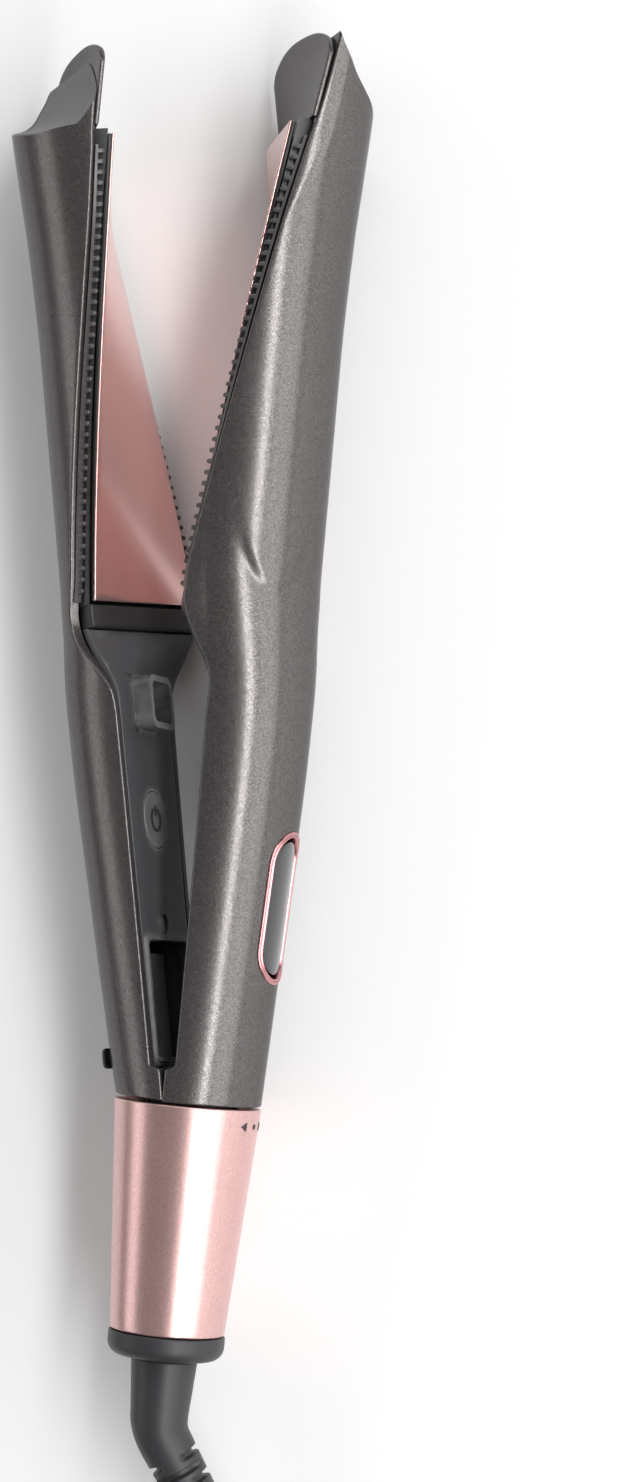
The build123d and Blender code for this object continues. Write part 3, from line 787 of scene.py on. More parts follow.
# ---- arm pieces ---------------------------------------------------------------------------------
@dataclass
class ArmShell:
    """Half shell of an arm: collar, handle, twisted barrel and scooped tip."""

    form: ArmForm
    place: Placement
    cover_screw: float
    frame_screws: tuple[float, float] = (122.0, 203.0)
    edge: float = 0.55
    facet_deg: float = -40.0
    facet_slope: float = 0.34
    facet: tuple[tuple[float, float], ...] = (
        (4.9, 236.0), (5.7, 231.0), (6.8, 227.0), (8.4, 223.8), (12.2, 218.9), (16.0, 217.2), (23.0, 216.4),
    )
    top_blend: float = 1.1
    step_station: float = 111.0
    step_deg: float = 41.0
    step_depth: float = 0.55
    step_spread: float = 24.0
    flank_deg: float = 87.5
    flank_stations: tuple[float, float] = (86.0, 140.0)
    flank_fullness: float = 1.6
    bevel_deg: float = 13.0
    bevel_start: float = 188.0
    bevel_run: float = 22.0
    facet_rows: int = 18
    tip_rows: int = 16

    def swell(self, s: float, angle: float) -> float:
        """Height of the outer face over its plain arc.

        Args:
            s: Station.
            angle: Angle from the arm's middle, in radians.

        Returns:
            Millimetres, negative where the face lies lower.
        """
        about = math.degrees(angle + self.form.twist(s))
        edge = math.degrees(self.form.span(s) + self.form.twist(s))
        height = 0.0
        side = (about - self.step_deg) / self.step_spread
        ahead = self.step_station + 9.0 * side * side - s
        if ahead > -2.0 and abs(side) < 1.6:
            fade = math.exp(-max(ahead, 0.0) / 14.0) * (1 - ease((abs(side) - 0.6) / 1.0))
            height -= self.step_depth * fade * ease((ahead + 2.0) / 3.0)
        flank, (low, high) = self.flank_deg, self.flank_stations
        if edge > flank + 3 and about > flank and s < high:
            half, middle = math.radians((edge - flank) / 2), (edge + flank) / 2
            chord = math.cos(half) / math.cos(math.radians(about - middle)) - 1
            height += self.form.barrel * self.flank_fullness * chord * ease((s - low) / 10)
        share = ease((s - self.bevel_start) / self.bevel_run)
        band = self.bevel_deg * share
        if band > 0.5 and edge - about < band:
            height -= share * (1 - (edge - about) / band)
        return height

    def facet_station(self, out: float, along: float) -> float:
        """Station of the scooped facet at a place in its own axes, rounded off under the top.

        Args:
            out: Distance out along the facet's first axis.
            along: Distance along its second axis.

        Returns:
            The station of the facet there.
        """
        plain = smooth_table(self.facet, max(out, 0.0))[0] + self.facet_slope * along
        limit = self.form.top + 0.3
        return limit - self.top_blend * math.log1p(math.exp((limit - plain) / self.top_blend))

    def facet_axes(self, s: float, level: float, across: float) -> tuple[float, float]:
        """A place of the twisted arm in the facet's own axes.

        Args:
            s: Station along the arm.
            level: Level before the twist.
            across: Distance across before the twist.

        Returns:
            Distances along the facet's first and second axis.
        """
        turn = self.form.twist(s) - math.radians(self.facet_deg)
        c, n = math.cos(turn), math.sin(turn)
        return level * c - across * n, level * n + across * c

    def meet_facet(self, level: float, across: float) -> float:
        """Station where a line of the twisted arm meets the facet.

        Args:
            level: Level before the twist.
            across: Distance across before the twist.

        Returns:
            The station where they meet.
        """
        s = self.form.tip + 8
        for _ in range(12):
            s = 0.5 * (s + self.facet_station(*self.facet_axes(s, level, across)))
        return s

    def foot(self, level: float) -> float:
        """First station of the shell; the opened arm's foot is cut parallel to the ring.

        Args:
            level: Level over the long axis.

        Returns:
            The station of the foot at that level.
        """
        if not self.place.open_deg:
            return 0.4
        turn = math.radians(self.place.open_deg)
        return max(0.4, self.form.pivot + (level * math.sin(turn) - 2.8) / math.cos(turn))

    def stations(self) -> list[float]:
        """Stations from the foot to the tip, closer where the form changes.

        Returns:
            The stations, in rising order.
        """
        marks = [0.0, 0.05, 0.15, 0.3, 0.5, 1.4, 3.0, 5.0, 6.4]
        marks += [6.8 + 0.25 * i for i in range(8)]
        marks += [10.0 + 3.7 * i for i in range(20)]
        marks += [84.0 + i for i in range(36)]
        marks += [120.0 + 2.0 * i for i in range(47)]
        return marks + [self.form.tip]

    def columns(self) -> list[Loop]:
        """Columns that run up the outer face, over the facet and down the inner face.

        Returns:
            The columns, with equal counts of points.
        """
        form = self.form
        fine = [self.edge * f for f in EDGE_STEPS]
        count = 60
        sides = [(-1.0, e) for e in fine]
        sides += [(2 * i / count - 1, -1.0) for i in range(1, count)]
        sides += [(1.0, e) for e in reversed(fine)]
        stations = self.stations()
        measures = [(s, form.span(s), *form.outline(s)) for s in stations]
        flat = form.lip + 0.1
        closed = form.span(form.tip)
        columns = []
        for share, distance in sides:
            def angle(span: float, arc: float) -> float:
                """Angle of this column on an arc."""
                inner = span - self.edge / arc
                return share * inner if distance < 0 else share * (span - distance / arc)

            drop = roll(distance, self.edge) if distance >= 0 else 0.0
            outer, inner = [], []
            for mark, span, offset, arc in measures:
                a = angle(span, arc)
                foot = self.foot(offset + arc * math.cos(a))
                s = foot + mark * (10 - foot) / 10 if mark < 10 else mark
                rise = arc + self.swell(s, a) - drop - roll(s - foot, 0.45)
                outer.append(form.at(s, offset + rise * math.cos(a), rise * math.sin(a)))
                under = arc - form.wall
                inner.append(form.at(s, offset + under * math.cos(a), under * math.sin(a)))
            a = angle(closed, form.outline(form.tip)[1])
            offset, radius = form.outline(form.tip + 6)
            rim = self.meet_facet(offset + radius * math.cos(a), radius * math.sin(a))
            width = (form.barrel + 0.5 - self.edge) * math.sin(a)
            seam = self.meet_facet(flat, width)
            for k in range(1, self.tip_rows + 1):
                w = 1 - (1 - k / self.tip_rows) ** 2
                s = form.tip + (rim - form.tip) * w
                offset, radius = form.outline(s)
                rise = radius + self.swell(s, a) - drop
                outer.append(form.at(s, offset + rise * math.cos(a), rise * math.sin(a)))
            inner.append(form.at(form.tip, flat, width))
            for k in range(1, self.tip_rows + 1):
                w = 1 - (1 - k / self.tip_rows) ** 2
                inner.append(form.at(form.tip + (seam - form.tip) * w, flat, width))
            outer.append(outer[-1] * 0.98 + inner[-1] * 0.02)
            column = outer + self.facet_points(outer[-1], inner[-1]) + inner[::-1]
            round_corner(column, len(outer) - 1, 5, 3)
            columns.append(column)
        return columns

    def facet_points(self, start: Vector, end: Vector) -> Loop:
        """Points over the facet between the outer face and the seam.

        Args:
            start: Point on the outer face's edge.
            end: Point on the seam.

        Returns:
            The points between them.
        """
        side = math.radians(self.facet_deg)
        out = Vector((math.cos(side), 0, math.sin(side)))
        along = Vector((-math.sin(side), 0, math.cos(side)))
        points = []
        for k in range(1, self.facet_rows + 1):
            t = (k / (self.facet_rows + 1)) ** 1.5
            p = start.lerp(end, t)
            s = self.facet_station(p.dot(out), p.dot(along))
            mean = start.y + (end.y - start.y) * t
            hold = min(1.0, (p - start).length / 2.0, (p - end).length / 1.0)
            p.y = mean + (s - mean) * hold
            points.append(p)
        return points

    def post(self, shape: Builder, station: float, ends: tuple[float, float],
             radii: tuple[float, float]) -> None:
        """Hollow screw post inside the shell, with a rounded mouth.

        Args:
            shape: Where it is drawn.
            station: Its place along the arm.
            ends: Level of its mouth and of its root.
            radii: Outer radius and radius of its bore.
        """
        turn = Matrix.Rotation(-self.form.twist(station), 4, "Y")
        frame = Matrix.Translation((0, station, 0)) @ turn @ Matrix.Rotation(math.pi / 2, 4, "Y")
        (mouth, root), (outer, bore) = ends, radii
        profile = [(bore, mouth + 0.15), (bore + 0.15, mouth), (outer - 0.2, mouth), (outer, mouth + 0.2),
                   (outer, root - 1.6), (outer + 0.35, root - 0.6), (outer + 0.9, root), (bore, root)]
        shape.lathe(profile, 36, frame, ring=True)

    def build(self) -> bpy.types.Object:
        """Makes the shell and its screw posts.

        Returns:
            The shell.
        """
        shape = Builder()
        shape.sheet_pair(self.columns())
        offset, radius = self.form.outline(self.cover_screw)
        self.post(shape, self.cover_screw, (4.5, offset + radius - 2.0), (2.7, 1.25))
        for station in self.frame_screws:
            self.post(shape, station, (7.9, 16.6), (2.4, 1.05))
        made = shape.finish(f"{self.place.prefix}_outer_shell", self.place.matrix, GUNMETAL, 38)

        def bare(p: Vector) -> bool:
            """Whether a face is on the unpainted inner side.

            Args:
                p: Middle of the face.

            Returns:
                True for a bare face.
            """
            turn = self.form.twist(p.y)
            level = p.x * math.cos(turn) + p.z * math.sin(turn)
            across = p.z * math.cos(turn) - p.x * math.sin(turn)
            offset, radius = self.form.outline(p.y)
            return p.y < self.form.tip and math.hypot(level - offset, across) < radius - self.form.wall + 0.3

        paint(made, BLACK_FRAME, self.place.matrix, bare)
        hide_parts(f"{self.place.prefix}_shell")
        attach(made, self.place.body)
        return made


@dataclass
class PlateSet:
    """Heating plate, its black frame, the inner nose of the tip and the comb rows of an arm."""

    form: ArmForm
    place: Placement
    comb_phase: float
    plate_half: float = 14.25
    plate_levels: tuple[float, float] = (0.15, 0.75)
    # Levels of the black bed under the plate, painted shade for the plate's side.
    painted_shade_bed_levels: tuple[float, float] = (0.7, 1.65)
    bar: tuple[float, float] = (104.2, 109.4)
    bar_half: float = 15.1
    bar_levels: tuple[float, float] = (0.6, 5.0)
    frame_end: float = 213.6
    comb_end: float = 209.5
    comb_pitch: float = 2.4
    comb_count: int = 41
    comb_across: float = 16.45
    nose_half: float = 17.85
    nose_rise: float = 0.5

    def add(self, shape: Builder, name: str, finish: Finish, nodes: Sequence[str], slot: str = "") -> None:
        """Makes a piece of this arm and puts it on its body.

        Args:
            shape: What was drawn.
            name: The piece's name without the arm's prefix.
            finish: Its finish.
            nodes: CAD nodes it stands for, without the prefix.
            slot: Material slot of the record, where it isn't the finish's own name; not used.
        """
        prefix = self.place.prefix
        made = shape.finish(f"{prefix}_{name}", self.place.matrix, finish)
        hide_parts(*[f"{prefix}_{node}" for node in nodes])
        slot or finish.name
        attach(made, self.place.body)
        LOG.info("built %s", made.name)

    def plate_face(self) -> None:
        """The rose heating plate."""
        start, end = self.form.plate
        shape = Builder()
        shape.sheet_pair(slab_columns(
            self.form, lambda u: start, lambda u: end, lambda s: self.plate_half,
            self.plate_levels, 0.28, (1.6, 1.6)
        ))
        self.add(shape, "heating_plate", ROSE_PLATE, ["plate"])

    def nose(self) -> None:
        """The tongue that closes the tip on its inner side."""
        def crown(u: float) -> float:
            """Last station at a share of the width.

            Args:
                u: Share of the half width, from -1 to 1.

            Returns:
                The last station there.
            """
            corner = max(0.0, (abs(u) - 0.86) / 0.14)
            dome = 6.6 * abs(u * 0.96) ** 2.6
            return self.form.top + self.nose_rise - dome - 2.2 * roll(1 - min(corner, 1.0), 1.0)

        shape = Builder()
        start = self.form.tip - 0.1
        shape.sheet_pair(slab_columns(
            self.form, lambda u: start, crown, lambda s: self.nose_half,
            (self.form.nose_face, self.form.lip - 0.05), 0.45, (1.0, 0.9)
        ))
        self.add(shape, "tip_nose", GUNMETAL, ["nose"])

    def frame(self) -> None:
        """The black trough behind the plate, with the cross bar at its foot, and a black bed under the plate
        that paints shade on the plate's own rose side.
        """
        outer = ((1.8, -15.6), (4.6, -15.4), (7.8, -14.0), (7.8, 14.0), (4.6, 15.4), (1.8, 15.6))
        inner = ((1.8, 14.45), (4.6, 14.45), (6.6, 13.4), (6.6, -13.4), (4.6, -14.45), (1.8, -14.45))
        shape = Builder()
        first, last = self.bar[1] - 0.2, self.frame_end
        count = 52
        loops = []
        for i in range(count + 1):
            s = first + (last - first) * i / count
            loops.append([self.form.at(s, level, across) for level, across in outer + inner])
        shape.loft(loops)
        start, end = self.form.plate
        # Black bed under the plate: painted shade for the plate's shadowed side, which is rose on the real
        # iron.
        shape.sheet_pair(slab_columns(
            self.form, lambda u: start + 0.1, lambda u: end - 0.1, lambda s: self.plate_half - 0.05,
            self.painted_shade_bed_levels, 0.3, (2.2, 2.2)
        ))
        low, high = self.bar
        shape.sheet_pair(slab_columns(
            self.form, lambda u: low, lambda u: high, lambda s: self.bar_half,
            self.bar_levels, 0.7, (2.5, 0.8)
        ))
        self.add(shape, "plate_frame", BLACK_FRAME, ["plate_carrier"])

    def tooth(self, shape: Builder, s: float, across: float) -> None:
        """One round-nosed tooth.

        Args:
            shape: Mesh that gets the tooth.
            s: Station of its middle.
            across: Its distance across the arm.
        """
        rings = ((0.2, 1.0), (1.35, 0.98), (1.7, 0.88), (1.95, 0.68), (2.08, 0.36))
        back = self.form.comb_back(s)
        loops = []
        for reach, size in rings:
            loop = []
            for k in range(12):
                a = 2 * math.pi * (k + 0.5) / 12
                c, n = math.cos(a), math.sin(a)
                grow = size / (abs(c) ** 4 + abs(n) ** 4) ** 0.25
                loop.append(self.form.at(s + 0.55 * grow * c, back - reach, across + 0.62 * grow * n))
            loops.append(loop)
        shape.loft(loops)

    def combs(self) -> None:
        """Both comb rows, in a grey lighter than their own black that paints light on the teeth."""
        for name, side in (("upper", 1), ("lower", -1)):
            shape = Builder()
            strip = ((0.6, 15.7), (0.75, 16.2), (0.6, 17.1), (0.0, 17.2), (0.0, 15.7))
            first, last, count = self.form.plate[0], self.comb_end, 60
            loops = []
            for i in range(count + 1):
                s = first + (last - first) * i / count
                back = self.form.comb_back(s)
                loops.append([self.form.at(s, back - under, side * across) for under, across in strip])
            shape.loft(loops)
            for i in range(self.comb_count):
                s = first + 1.0 + (i + self.comb_phase) * self.comb_pitch
                self.tooth(shape, s, side * self.comb_across)
            # The rows get the lighter painted-light grey in place of their own black.
            self.add(shape, f"comb_row_{name}", COMB_PAINTED_LIGHT, [f"comb_{name}"], BLACK_FRAME.name)

    def build(self) -> None:
        """Makes all the pieces."""
        self.plate_face()
        self.nose()
        self.frame()
        self.combs()


@dataclass
class InnerCover:
    """Flat cover of the handle half, with its window, screw hole and locating piece."""

    form: ArmForm
    place: Placement
    screw_station: float
    window: tuple[float, float] = (10.0, 35.4)
    window_half: float = 11.4
    tower: tuple[float, float] = (81.6, 93.4)
    tower_half: float = 6.2
    button_station: float = 62.0
    button_radius: float = 6.25
    peg: tuple[float, float] = (84.2, 90.6)
    peg_half: float = 3.4
    wall: float = 1.4

    def half(self, s: float) -> float:
        """Half width of the cover at a station."""
        offset, radius = self.form.outline(s)
        return math.sqrt((radius - self.form.wall) ** 2 - (self.form.cover_levels[1] - offset) ** 2) - 0.2

    def prism(self, low: tuple[float, float], half: float, levels: tuple[float, float], corner: float,
              ) -> Builder:
        """Rounded rectangular prism square to the cover.

        Args:
            low: First and last station.
            half: Half width across.
            levels: First and last level.
            corner: Radius of its corners.

        Returns:
            The drawing, in the arm frame.
        """
        shape = Builder()
        shape.loft([self.rectangle(low, half, level, corner) for level in levels])
        return shape

    @staticmethod
    def rectangle(ends: tuple[float, float], half: float, level: float, corner: float) -> Loop:
        """Loop of a rounded rectangle in a plane of constant level.

        Args:
            ends: First and last station.
            half: Half width.
            level: Level of the plane.
            corner: Radius of the corners.

        Returns:
            The loop.
        """
        loop = []
        middle, reach = (ends[0] + ends[1]) / 2, (ends[1] - ends[0]) / 2 - corner
        wide = half - corner
        for quarter, (x, z) in enumerate(((1, 1), (-1, 1), (-1, -1), (1, -1))):
            for k in range(7):
                a = math.pi / 2 * (quarter + k / 6)
                loop.append(Vector((level, middle + x * reach + corner * math.cos(a),
                                    z * wide + corner * math.sin(a))))
        return loop

    def disc(self, station: float, radius: float, levels: tuple[float, float]) -> Builder:
        """Round prism square to the cover.

        Args:
            station: Station of its axis.
            radius: Its radius.
            levels: Levels of its two ends.

        Returns:
            The mesh, not finished yet.
        """
        shape = Builder()
        frame = Matrix.Translation((0, station, 0)) @ Matrix.Rotation(math.pi / 2, 4, "Y")
        shape.lathe([(radius, levels[0]), (radius, levels[1])], 64, frame)
        return shape

    def carve(self, target: bpy.types.Object, shape: Builder, operation: str = "DIFFERENCE") -> None:
        """Cuts a drawing out of the cover, or adds it."""
        cut(target, shape.finish("tool", self.place.matrix, INNER_DARK), operation)

    def build(self) -> bpy.types.Object:
        """Makes the cover.

        Returns:
            The cover.
        """
        start, end = self.form.cover
        shape = Builder()
        shape.sheet_pair(slab_columns(
            self.form, lambda u: start, lambda u: end, self.half, self.form.cover_levels, 0.35, (2.2, 1.2)
        ))
        prefix = self.place.prefix
        made = shape.finish(f"{prefix}_cover_panel", self.place.matrix, INNER_DARK, 35)
        rim = self.prism((self.window[0] - 0.9, self.window[1] + 0.9), self.window_half + 0.9,
                         (self.form.cover_levels[0] - 0.7, 3.8), 2.4)
        self.carve(made, rim, "UNION")
        self.carve(made, self.prism(self.window, self.window_half, (0.0, 6.0), 1.8))
        self.carve(made, self.disc(self.screw_station, 2.25, (0.0, 6.0)))
        if prefix == "rear":
            self.carve(made, self.disc(self.button_station, self.button_radius + 0.2, (0.0, 6.0)))
            self.carve(made, self.prism(self.tower, self.tower_half, (-1.7, 3.8), 2.2), "UNION")
            hollow = (self.tower[0] + self.wall, self.tower[1] - self.wall)
            self.carve(made, self.prism(hollow, self.tower_half - self.wall, (-2.5, 3.4), 1.5))

            def painted_shade_tower(p: Vector) -> bool:
                """Whether a face is on the walls or in the hollow of the locating piece, which are painted
                black as shade.
                """
                within = self.tower[0] - 0.1 < p.y < self.tower[1] + 0.1 and abs(p.z) < self.tower_half + 0.1
                return within and -1.6 < p.x < 3.5

            # Painted shade: the locating piece's walls and hollow are made black.
            paint(made, BLACK_FRAME, self.place.matrix, painted_shade_tower)
        else:
            self.carve(made, self.prism(self.peg, self.peg_half, (-1.6, 3.8), 1.2), "UNION")

        def bore(p: Vector) -> bool:
            """Whether a face is inside the screw hole or the window, whose walls are painted black as shade.

            Args:
                p: Middle of the face.

            Returns:
                True for a face inside one of them.
            """
            hole = math.hypot(p.y - self.screw_station, p.z) < 2.35
            opening = self.window[0] - 0.1 < p.y < self.window[1] + 0.1 and abs(p.z) < self.window_half + 0.1
            return hole or opening

        # Painted shade: walls of the screw hole and the window are made black.
        paint(made, BLACK_FRAME, self.place.matrix, bore)
        bevel = made.modifiers.new("edges", "BEVEL")
        bevel.width, bevel.segments, bevel.limit_method = 0.22 * MM, 2, "ANGLE"
        bevel.angle_limit = math.radians(50)
        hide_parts(f"{prefix}_inner_cover")
        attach(made, self.place.body)
        LOG.info("built %s", made.name)
        return made


@dataclass
class DisplayWindow:
    """Display window and its double-ridged trim on the front arm."""

    form: ArmForm
    place: Placement
    station: float = 43.5
    trim: tuple[float, float] = (33.3, 15.0)
    window: tuple[float, float] = (28.7, 12.1)
    segments: int = 22

    def loop(self, size: tuple[float, float], grow: float, height: float) -> Loop:
        """Stadium loop laid on the handle's outer face.

        Args:
            size: Length and width of the stadium.
            grow: Distance outside its outline.
            height: Height over the face.

        Returns:
            The points.
        """
        radius = size[1] / 2 + grow
        straight = (size[0] - size[1]) / 2
        points = []
        for end in (1, -1):
            for k in range(self.segments + 1):
                a = math.pi * k / self.segments - math.pi / 2
                s = self.station + end * (straight + radius * math.cos(a))
                points.append(self.form.skin(s, end * radius * math.sin(a), height))
        return points

    def cut_opening(self, shell: bpy.types.Object) -> None:
        """Cuts the display's opening in the shell.

        Args:
            shell: Shell of the arm with the display.
        """
        shape = Builder()
        shape.loft([self.loop(self.trim, 0.05, height) for height in (-6.0, 4.0)])
        cut(shell, shape.finish("tool", self.place.matrix, GUNMETAL))

    def build(self) -> None:
        """Makes the trim and the window."""
        width = (self.trim[1] - self.window[1]) / 2 - 0.1
        ridge = ((0.0, -1.8), (0.0, 0.1), (0.12, 0.34), (0.3, 0.45), (0.46, 0.36), (0.54, 0.12), (0.62, 0.12),
                 (0.7, 0.3), (0.84, 0.36), (0.95, 0.2), (1.0, -0.1), (1.0, -1.8))
        shape = Builder()
        shape.loft([self.loop(self.trim, -share * width, height) for share, height in ridge], ring=True)
        trim = shape.finish("display_trim", self.place.matrix, ROSE_TRIM, 60)
        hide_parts("display_bezel")
        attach(trim, self.place.body)
        shape = Builder()
        half = self.window[1] / 2
        rings = [(0.0, -1.5), (0.0, -0.35), (0.04, -0.25)]
        rings += [(share, -0.22) for share in (0.15, 0.3, 0.45, 0.6, 0.75, 0.9, 0.995)]
        shape.loft([self.loop(self.window, -share * half, height) for share, height in rings])
        glass = shape.finish("display_glass_panel", self.place.matrix, DISPLAY_GLASS, 50)
        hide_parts("display_window")
        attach(glass, self.place.body)
        LOG.info("built the display")


@dataclass
class RearControls:
    """Power button and closing lock of the rear arm."""

    form: ArmForm
    place: Placement
    station: float = 62.0
    radius: float = 6.25
    lock_ends: tuple[float, float] = (9.0, 13.4)
    lock_half: float = 5.0
    slot_ends: tuple[float, float] = (9.7, 17.2)
    slot_half: float = 3.3

    def cut_slot(self, shell: bpy.types.Object) -> None:
        """Cuts the slot that the lock's stem runs in.

        Args:
            shell: Shell of the rear arm.
        """
        shape = Builder()
        ends, half = self.slot_ends, self.slot_half
        shape.loft([InnerCover.rectangle(ends, half, level, 1.2) for level in (10.0, 22.0)])
        cut(shell, shape.finish("tool", self.place.matrix, BLACK_FRAME))

    def lock(self) -> None:
        """Lock nub with a crowned, ridged top, its stem and the plate that keeps it in the slot."""
        rectangle = InnerCover.rectangle
        low, high = self.lock_ends
        middle, stem = (low + high) / 2, 1.2
        shape = Builder()
        crown = ((17.12, 0.0), (17.5, 0.0), (17.75, 0.12), (17.92, 0.35), (18.0, 0.7))
        ridge = ((17.9, 0.34), (18.12, 0.26), (18.2, 0.1))
        loops = []
        for level, inset in crown:
            half = self.lock_half - inset * 1.5
            loops.append(rectangle((low + inset, high - inset), half, level, 1.1))
        shape.loft(loops)
        for s in (middle - 1.0, middle, middle + 1.0):
            shape.loft([rectangle((s - w, s + w), 3.4, level, w * 0.9) for level, w in ridge])
        shape.loft([rectangle((middle - stem, middle + stem), 3.0, level, 0.8) for level in (12.8, 17.3)])
        shape.loft([rectangle((low - 0.4, high + 0.4), 4.5, level, 0.9) for level in (12.1, 12.9)])
        made = shape.finish("lock_nub", self.place.matrix, BLACK_FRAME, 40)
        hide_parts("lock_slider")
        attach(made, "lock")
        LOG.info("built the lock")

    def button(self) -> None:
        """Slightly dished push button with a keeper flange."""
        r = self.radius
        profile = [(0.01, 2.42), (r * 0.55, 2.38), (r * 0.8, 2.27), (r - 0.5, 2.16), (r - 0.18, 2.22),
                   (r - 0.04, 2.36), (r, 2.6), (r, 4.7), (r + 1, 4.7), (r + 1, 5.5), (0.01, 5.5)]
        frame = Matrix.Translation((0, self.station, 0)) @ Matrix.Rotation(math.pi / 2, 4, "Y")
        shape = Builder()
        shape.lathe(profile, 72, frame)
        made = shape.finish("button_cap", self.place.matrix, BUTTON_GREY, 50)
        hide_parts("power_button")
        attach(made, "button")
        LOG.info("built the power button")

    def build(self) -> None:
        """Makes the controls."""
        self.button()
        self.lock()


# ---- ring, cap and strain relief ----------------------------------------------------------------
@dataclass
class HandleEnd:
    """Temperature ring and end cap, turned about the long axis."""

    place: Placement
    length: float = 49.2
    top_radius: float = 16.0
    end_radius: float = 12.4
    cap_length: float = 5.4
    cap_radius: float = 12.6
    bore: float = 9.58
    ledge: float = 13.08
    ledge_depths: tuple[float, float] = (2.0, 5.2)
    wall: float = 2.0
    edge: float = 0.4

    def radius(self, down: float) -> float:
        """Outer radius of the ring at a distance below its top."""
        return self.top_radius + (self.end_radius - self.top_radius) * down / self.length

    def ring(self) -> None:
        """The tapered temperature ring, with rounded ends."""
        top, end = -0.1, -self.length + 0.1
        steps = [self.edge * f for f in EDGE_STEPS]
        profile = []
        for x in steps:
            profile.append((self.radius(-top + x) - roll(x, self.edge), top - x))
        for k in range(1, 24):
            y = -self.length * k / 24
            profile.append((self.radius(-y), y))
        for x in reversed(steps):
            profile.append((self.radius(-end - x) - roll(x, self.edge), end + x))
        high, low = self.ledge_depths
        foot = end + 3
        profile += [(self.bore, end), (self.bore, foot), (self.radius(-foot) - self.wall, foot)]
        profile += [(self.radius(low) - self.wall, -low), (self.ledge, -low), (self.ledge, -high)]
        profile += [(self.radius(high) - self.wall, -high), (self.radius(0) - self.wall, top)]
        shape = Builder()
        shape.lathe(profile, 144, Matrix.Rotation(-math.pi / 2, 4, "X"), ring=True)
        made = shape.finish("temperature_ring", self.place.matrix, ROSE_RING, 45)
        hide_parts("dial_sleeve")
        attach(made, "dial")

    def cap(self) -> None:
        """The black end cap, with a rounded shoulder."""
        top, bottom = -self.length - 0.15, -self.length - self.cap_length
        r = self.cap_radius
        profile = [(8.4, top), (r - 0.35, top), (r - 0.1, top - 0.12), (r, top - 0.4), (r + 0.02, top - 1.6)]
        corner = 2.9
        for k in range(10):
            a = math.pi / 2 * k / 9
            profile.append((r - corner + corner * math.cos(a), bottom + corner * (1 - math.sin(a))))
        profile += [(6.3, bottom), (6.3, bottom + 2.0), (8.4, bottom + 2.0)]
        shape = Builder()
        shape.lathe(profile, 120, ring=True)
        made = shape.finish("end_cap_shell", self.place.matrix, BLACK_SOFT, 45)
        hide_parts("end_cap")
        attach(made, "handle")

    def build(self) -> None:
        """Makes both."""
        self.ring()
        self.cap()
        LOG.info("built the temperature ring and the end cap")


